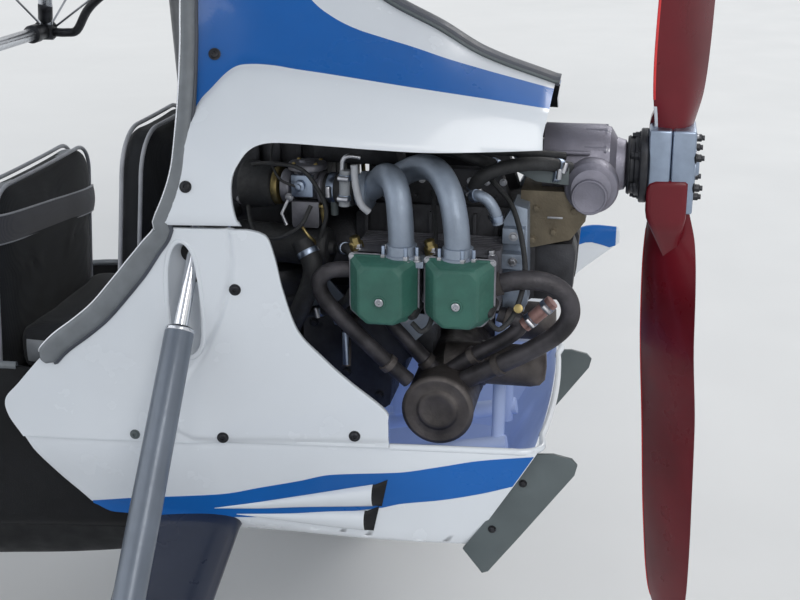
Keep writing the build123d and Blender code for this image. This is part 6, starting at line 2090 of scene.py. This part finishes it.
def make_screen():
    kit = Kit()
    rows = []
    edge = []
    for v in steps(0, 1, 40):
        low_share = share_at(2.0, SCREEN_SILL_Z)
        share = low_share + (1 - low_share) * v
        start = max(rear_edge(share), 1.79)
        end = max(sill_edge(share), start + 0.004)
        row = []
        for u in steps(0, 1, 36):
            s = start + (end - start) * u
            half = nose_half(s, 0.001)
            place = share * (len(half) - 1)
            i = min(int(place), len(half) - 2)
            f = place - i
            row.append(at(s, half[i][0] + (half[i + 1][0] - half[i][0]) * f, half[i][1] + (half[i + 1][1] - half[i][1]) * f))
        rows.append(row)
        edge.append((row[0], row[-1]))
    kit.grid(rows, "glass")
    kit.mirror()
    kit.make("screen_pane", "trike", thick=0.004, weld=0.0006, angle=50, replaces=["windscreen"], slot="smoked_glass")
    trim = Kit()
    rear = [pair[0] for pair in edge]
    front = [pair[1] for pair in edge]
    for line in (rear, front):
        whole = line + [Vector((p.x, -p.y, p.z)) for p in line[-2::-1]]
        trim.tube(whole, 0.0042, "ridge", 10)
    for p, q in zip(front[2::5], front[3::5]):
        for y in (1, -1):
            trim.screw(Vector((p.x + 0.012, p.y * y, p.z - 0.004)), (0.7, 0.5 * y, 0.6), "bolt", 0.0038, 0.003)
    trim.make("screen_trim", "trike", angle=50)


def make_cockpit():
    kit = Kit()
    face = []
    for y, z in [(0.24, 0.775), (0.255, 0.84), (0.24, 0.90), (0.19, 0.935), (0.10, 0.95)]:
        face.append((y, z))
    outline = face + [(-y, z) for y, z in reversed(face)]
    lean = Vector((0.12, 0, 0.99)).normalized()
    origin = at(1.985, 0, 0.760)
    local = [(y, (z - 0.760)) for y, z in outline]
    kit.prism(local, origin + Vector((-0.001, 0, 0)), (0, 1, 0), lean, 0.022, "black")
    for y, z, r in ((0.10, 0.085, 0.040), (0.0, 0.105, 0.040), (-0.10, 0.085, 0.040), (0.185, 0.075, 0.028), (-0.185, 0.075, 0.028)):
        here = origin + Vector((0, y, 0)) + lean * z
        away = Vector((-0.99, 0, 0.12))
        kit.lathe([(r, 0.0), (r, 0.004), (r * 0.9, 0.006), (r * 0.86, 0.002), (0, 0.002)], here, away, ["bolt", "bolt", "bolt", "rubber"], 36)
        for i in range(8):
            a = math.radians(-140 + 40 * i)
            tick = here + away * 0.0024 + Vector((0, r * 0.72 * math.sin(a), 0)) + lean * (r * 0.72 * math.cos(a))
            kit.lathe([(0.0014, 0), (0.0014, 0.0006), (0, 0.0006)], tick, away, "white", 8)
        needle = here + away * 0.003
        kit.tube([needle, needle + lean * (r * 0.45) + Vector((0, r * 0.45, 0))], 0.0010, "white", 6)
        kit.lathe([(0.003, 0), (0.003, 0.002), (0, 0.003)], needle, away, "bolt", 12)
    for i in range(6):
        here = origin + Vector((0, -0.14 + 0.056 * i, 0)) + lean * 0.030
        away = Vector((-0.99, 0, 0.12))
        kit.lathe([(0.008, 0), (0.008, 0.002), (0.006, 0.003), (0, 0.003)], here, away, "steel", 6)
        kit.tube([here, here + away * 0.012 + lean * 0.006], 0.002, "steel", 8)
    kit.make("instrument_dials", "trike", bevel=0.0005, angle=40)


def make_mast():
    kit = Kit()
    foot, top = at(0.745, 0, 0.525), at(0.845, 0, 2.290)
    along = (top - foot).normalized()
    for share, tall in ((0.02, 0.030), (0.34, 0.016), (0.985, 0.030)):
        here = foot + (top - foot) * share
        kit.lathe([(0.030, 0), (0.0325, 0.001), (0.0325, tall - 0.001), (0.030, tall)], here, along, "alloy", 36)
    for share in (0.995, 0.03):
        here = foot + (top - foot) * share
        for side in (1, -1):
            kit.hex(here + Vector((0, side * 0.031, 0)), (0, side, 0), "steel", 0.007, 0.007)
    low, high = at(2.385, 0, 0.640), at(0.907, 0, 2.306)
    lean = (high - low).normalized()
    for share in (0.01, 0.985):
        here = low + (high - low) * share
        kit.lathe([(0.022, 0), (0.0245, 0.001), (0.0245, 0.029), (0.022, 0.030)], here, lean, "alloy", 32)
    for share in (0.02, 0.99):
        here = low + (high - low) * share
        for side in (1, -1):
            kit.hex(here + Vector((0, side * 0.023, 0)), (0, side, 0), "steel", 0.006, 0.006)
    kit.make("mast_collars", "trike", bevel=0.0006, angle=40)


# Wing

KEEL_Z = 2.522
KEEL_R = 0.026
KEEL_NOSE_S = 2.330
KEEL_TAIL_S = -0.750
BAR_S = 1.385
BAR_Z = 1.195
BAR_HALF = 0.745
UPRIGHT_TOP_S = 0.985
HALF_SPAN = 5.0
KINGPOST_S = 0.800
KINGPOST_TOP_Z = 3.440
STAY_SPAN = 2.600
LEAD_S = line_of([(0.0, 2.290), (1.5, 1.630), (3.2, 0.880), (5.0, 0.060)])
TRAIL_S = line_of([(0.0, -0.330), (1.5, -0.290), (3.2, -0.300), (5.0, -0.470)])
FLAT_Z = line_of([(0.0, KEEL_Z + KEEL_R), (1.5, KEEL_Z + KEEL_R + 0.008), (3.2, KEEL_Z + KEEL_R + 0.030),
                  (5.0, KEEL_Z + KEEL_R + 0.095)])
TOP_LINE = curve_of([(0.0, 0.022), (0.012, 0.040), (0.030, 0.054), (0.10, 0.083), (0.22, 0.098), (0.38, 0.0905),
                     (0.60, 0.066), (0.80, 0.034), (1.0, 0.012)])
UNDER_LINE = curve_of([(0.0, 0.022), (0.010, 0.008), (0.030, 0.000), (0.10, 0.000), (0.74, 0.000), (0.80, 0.031)])
BATTEN_YS = [0.42, 0.84, 1.26, 1.70, 2.14, 2.58, 3.02, 3.46, 3.90, 4.32, 4.70]
BLUE_SHARE = 0.085


def wing_point(y, share, under=False, proud=0.0):
    """A point on the sail: how far out, and the share of the chord from the leading edge."""
    side = 1 if y >= 0 else -1
    out = abs(y)
    lead, trail = LEAD_S(out), TRAIL_S(out)
    chord = lead - trail
    z = UNDER_LINE(share) if under else TOP_LINE(share)
    puff = 0.0
    if not under and 0.08 < share < 0.98:
        gaps = [0.0] + BATTEN_YS + [HALF_SPAN]
        for a, b in zip(gaps, gaps[1:]):
            if a <= out <= b:
                puff = 0.006 * math.sin(math.pi * (out - a) / (b - a)) * math.sin(math.pi * min(max(share, 0), 1)) ** 0.5
    return at(lead - share * chord, side * out, FLAT_Z(out) + z * chord + proud + puff - 0.003 * (0 if under else 1))


def make_sail():
    spans = []
    marks = [0.0] + BATTEN_YS + [HALF_SPAN]
    for a, b in zip(marks, marks[1:]):
        spans += steps(a, b, 6)[:-1]
    spans.append(HALF_SPAN)
    whole = [-y for y in spans[:0:-1]] + spans
    top_shares = [0.0, 0.004, 0.012, 0.022, 0.035, 0.055, BLUE_SHARE] + steps(0.12, 0.96, 24) + [0.985, 1.0]
    under_shares = [0.0, 0.004, 0.010, 0.018, 0.030, 0.055, BLUE_SHARE] + steps(0.12, 0.72, 14) + [0.745, 0.77, 0.80]
    kit = Kit()
    rows = [[wing_point(y, share) for y in whole] for share in top_shares]
    keys = ["sail_blue" if share < BLUE_SHARE else "sail" for share in top_shares[:-1]]
    kit.grid([list(reversed(row)) for row in rows], keys)
    rows = [[wing_point(y, share, True) for y in whole] for share in under_shares]
    keys = ["sail_blue" if share < BLUE_SHARE else "sail" for share in under_shares[:-1]]
    kit.grid(rows, keys)
    for side in (1, -1):
        tip_top = [wing_point(side * HALF_SPAN, share) for share in steps(0, 0.80, 20)]
        tip_low = [wing_point(side * HALF_SPAN, share, True) for share in steps(0, 0.80, 20)]
        kit.grid([tip_top, tip_low] if side > 0 else [tip_low, tip_top], "sail_blue")
    sail = kit.make("sail_cloth", "wing", thick=0.0025, weld=0.0008, angle=60, replaces=["sail"], slot="sail_cloth")
    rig.sheet(sail, flat=(10.0, 4.7), held="stretched", rests_on=["keel"], area=28.1)
    seams = Kit()
    for y in BATTEN_YS:
        for side in (1, -1):
            for share_low, share_high in ((BLUE_SHARE, 0.995),):
                line = [wing_point(side * y, share) for share in steps(share_low, share_high, 40)]
                for dy in (-0.011, 0.011):
                    rows = [[p + Vector((0, dy - 0.0012, 0.0012)), p + Vector((0, dy + 0.0012, 0.0012))] for p in line]
                    seams.grid(rows, "fin")
                rows = [[p + Vector((0, -0.009, 0.0004)), p + Vector((0, -0.005, 0.0035)), p + Vector((0, 0.005, 0.0035)),
                         p + Vector((0, 0.009, 0.0004))] for p in line]
                seams.grid(rows, "sail")
            end = wing_point(side * y, 1.0)
            seams.lathe([(0.005, -0.022), (0.0065, -0.020), (0.0065, 0.010), (0.004, 0.014), (0, 0.014)], end + Vector((0.004, 0, -0.002)),
                        (-1, 0, 0), "black", 14)
    seams.make("sail_battens", "wing", angle=50)


def make_bar_end(kit, side):
    """The black corner of the base bar, its rubber grip, and the sleeve over the rear lower stay."""
    corner = at(BAR_S, side * BAR_HALF, BAR_Z)
    kit.lathe([(0.0139, 0.0), (0.0165, -0.002), (0.0165, -0.055), (0.0200, -0.060), (0.0200, -0.088), (0.0165, -0.092),
               (0.0139, -0.094)], corner + Vector((0, side * 0.012, 0)), (0, side, 0), "bolt", 32)
    kit.lathe([(0.0, -0.021), (0.017, -0.021), (0.0215, -0.016), (0.0215, 0.016), (0.017, 0.021), (0, 0.021)], corner, (1, 0, 0),
              "bolt", 32)
    kit.lathe([(0.0, -0.006), (0.012, -0.006), (0.012, 0.004), (0.009, 0.006), (0, 0.006)], corner + Vector((0.021, 0, 0)),
              (1, 0, 0), "steel", 6)
    kit.prism([(-0.020, -0.018), (0.020, -0.018), (0.014, 0.030), (-0.014, 0.030)], corner + Vector((0, -side * 0.006, 0)),
              (1, 0, 0), (0, 0, 1), 0.006, "steel")
    grip = [(0.0139, 0.0), (0.0172, 0.002), (0.0172, 0.010)]
    for i in range(16):
        grip += [(0.0166, 0.014 + i * 0.014), (0.0174, 0.020 + i * 0.014)]
    grip += [(0.0172, 0.245), (0.0139, 0.248)]
    kit.lathe(grip, at(BAR_S, side * 0.120, BAR_Z), (0, side, 0), "rubber", 28)
    tail = at(KEEL_TAIL_S + 0.06, side * 0.03, KEEL_Z - 0.03)
    start = corner + Vector((-0.020, 0, -0.004))
    way = (tail - start).normalized()
    path = [start, start + Vector((-0.030, 0, 0.0)), start + Vector((-0.055, 0, 0.006)), start + way * 0.10 + Vector((-0.012, 0, 0)),
            start + way * 0.16, start + way * 0.24]
    kit.tube(smooth_path(path, 5), 0.0098, "bolt", 18)


def make_wing_frame():
    kit = Kit()
    kit.lathe([(0.0232, 0.0), (0.026, 0.0), (0.026, 3.080), (0.0232, 3.080)], at(KEEL_TAIL_S, 0, KEEL_Z), (1, 0, 0), "polished", 48)
    kit.lathe([(0.0232, 3.080), (0.0232, 0.0)], at(KEEL_TAIL_S, 0, KEEL_Z), (1, 0, 0), "polished", 48)
    kit.make("keel_tube", "wing", bevel=0.0006, angle=40, replaces=["keel"], slot="wing_alloy")
    post = Kit()
    post.lathe([(0.016, 0.0), (0.016, 0.86), (0.013, 0.866), (0.013, 0.886), (0.0, 0.892)], at(KINGPOST_S, 0, KEEL_Z + KEEL_R), (0, 0, 1),
               "polished", 32)
    post.make("kingpost_tube", "wing", bevel=0.0006, angle=40, replaces=["kingpost"], slot="wing_alloy")
    for side, name in ((1, "left"), (-1, "right")):
        tube = Kit()
        low = at(BAR_S, side * BAR_HALF, BAR_Z)
        top = at(UPRIGHT_TOP_S, side * 0.026, KEEL_Z - 0.050)
        along = (top - low).normalized()
        tube.tube([low + along * 0.020, low + along * 0.06, low + (top - low) * 0.5, top - along * 0.06, top - along * 0.012],
                  0.016, "polished", 32, squash=0.62, lie=(1, 0, 0))
        for share in (0.035, 0.955):
            here = low + (top - low) * share
            tube.lathe([(0.0, -0.022), (0.0145, -0.022), (0.0162, -0.018), (0.0162, 0.018), (0.0145, 0.022), (0, 0.022)], here, along,
                       "bolt", 28)
        tube.make(f"upright_tube_{name}", "wing", bevel=0.0005, angle=40, replaces=[f"upright_{name}"], slot="wing_alloy")
    bar = Kit()
    bar.lathe([(0.0, -BAR_HALF), (0.0138, -BAR_HALF), (0.0138, BAR_HALF), (0, BAR_HALF)], at(BAR_S, 0, BAR_Z), (0, 1, 0), "polished", 32)
    for side in (1, -1):
        make_bar_end(bar, side)
    bar.make("base_bar_tube", "wing", bevel=0.0005, angle=40, replaces=["base_bar"], slot="wing_alloy")
    bits = Kit()
    for s, turn in ((KEEL_TAIL_S + 0.060, -1), (KEEL_NOSE_S - 0.060, 1)):
        for side in (1, -1):
            bits.prism([(-0.016, -0.012), (0.016, -0.012), (0.010, 0.020), (-0.010, 0.020)], at(s, side * 0.027, KEEL_Z), (1, 0, 0),
                       (0, 0, 1), -side * 0.003, "steel")
            bits.hex(at(s, side * 0.030, KEEL_Z), (0, side, 0), "steel", 0.006, 0.006)
    for s in (0.845, UPRIGHT_TOP_S):
        for side in (1, -1):
            bits.hex(at(s, side * 0.040, KEEL_Z - 0.005), (0, side, 0), "steel", 0.008, 0.008)
            bits.hex(at(s + 0.018, side * 0.040, KEEL_Z - 0.038), (0, side, 0), "steel", 0.006, 0.006)
    peak = at(KINGPOST_S, 0, KINGPOST_TOP_Z)
    bits.prism([(-0.022, -0.030), (0.022, -0.030), (0.018, -0.002), (-0.018, -0.002)], peak + Vector((0, 0.014, 0)), (1, 0, 0), (0, 0, 1),
               0.003, "steel")
    bits.prism([(-0.022, -0.030), (0.022, -0.030), (0.018, -0.002), (-0.018, -0.002)], peak + Vector((0, -0.011, 0)), (1, 0, 0),
               (0, 0, 1), 0.003, "steel")
    bits.make("wing_fittings", "wing", bevel=0.0004, angle=40)


def make_cables():
    """Thin lines from the kingpost's top to the sail near its trailing edge, which hold the trailing edge up."""
    kit = Kit()
    peak = at(KINGPOST_S - 0.004, 0, KINGPOST_TOP_Z - 0.016)
    for y in (0.84, 1.70, 2.58):
        for side in (1, -1):
            kit.tube([peak, wing_point(side * y, 0.965)], 0.0011, "steel", 6)
    kit.make("reflex_lines", "wing", angle=60)


make_camera()
make_studio()
make_fairing()
make_side_panels()
make_tub()
make_stripes()
make_fins()
make_edge_trim()
make_valve_covers()
make_intakes()
make_carburettors()
make_exhaust()
make_gearbox()
make_crankcase()
make_engine_dressing()
make_blades()
make_hub()
make_wheels()
make_spats()
make_legs()
make_struts()
make_fork()
make_seats()
make_hull()
make_nose()
make_nose_stripe()
make_screen()
make_cockpit()
make_mast()
make_sail()
make_wing_frame()
make_cables()

with open("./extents.json", "w") as out:
    visual_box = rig.bounds()
    rows = {"cad": [list(corner) for corner in cad_box], "visual": [list(corner) for corner in visual_box]}
    out.write(str(rows).replace("'", '"'))
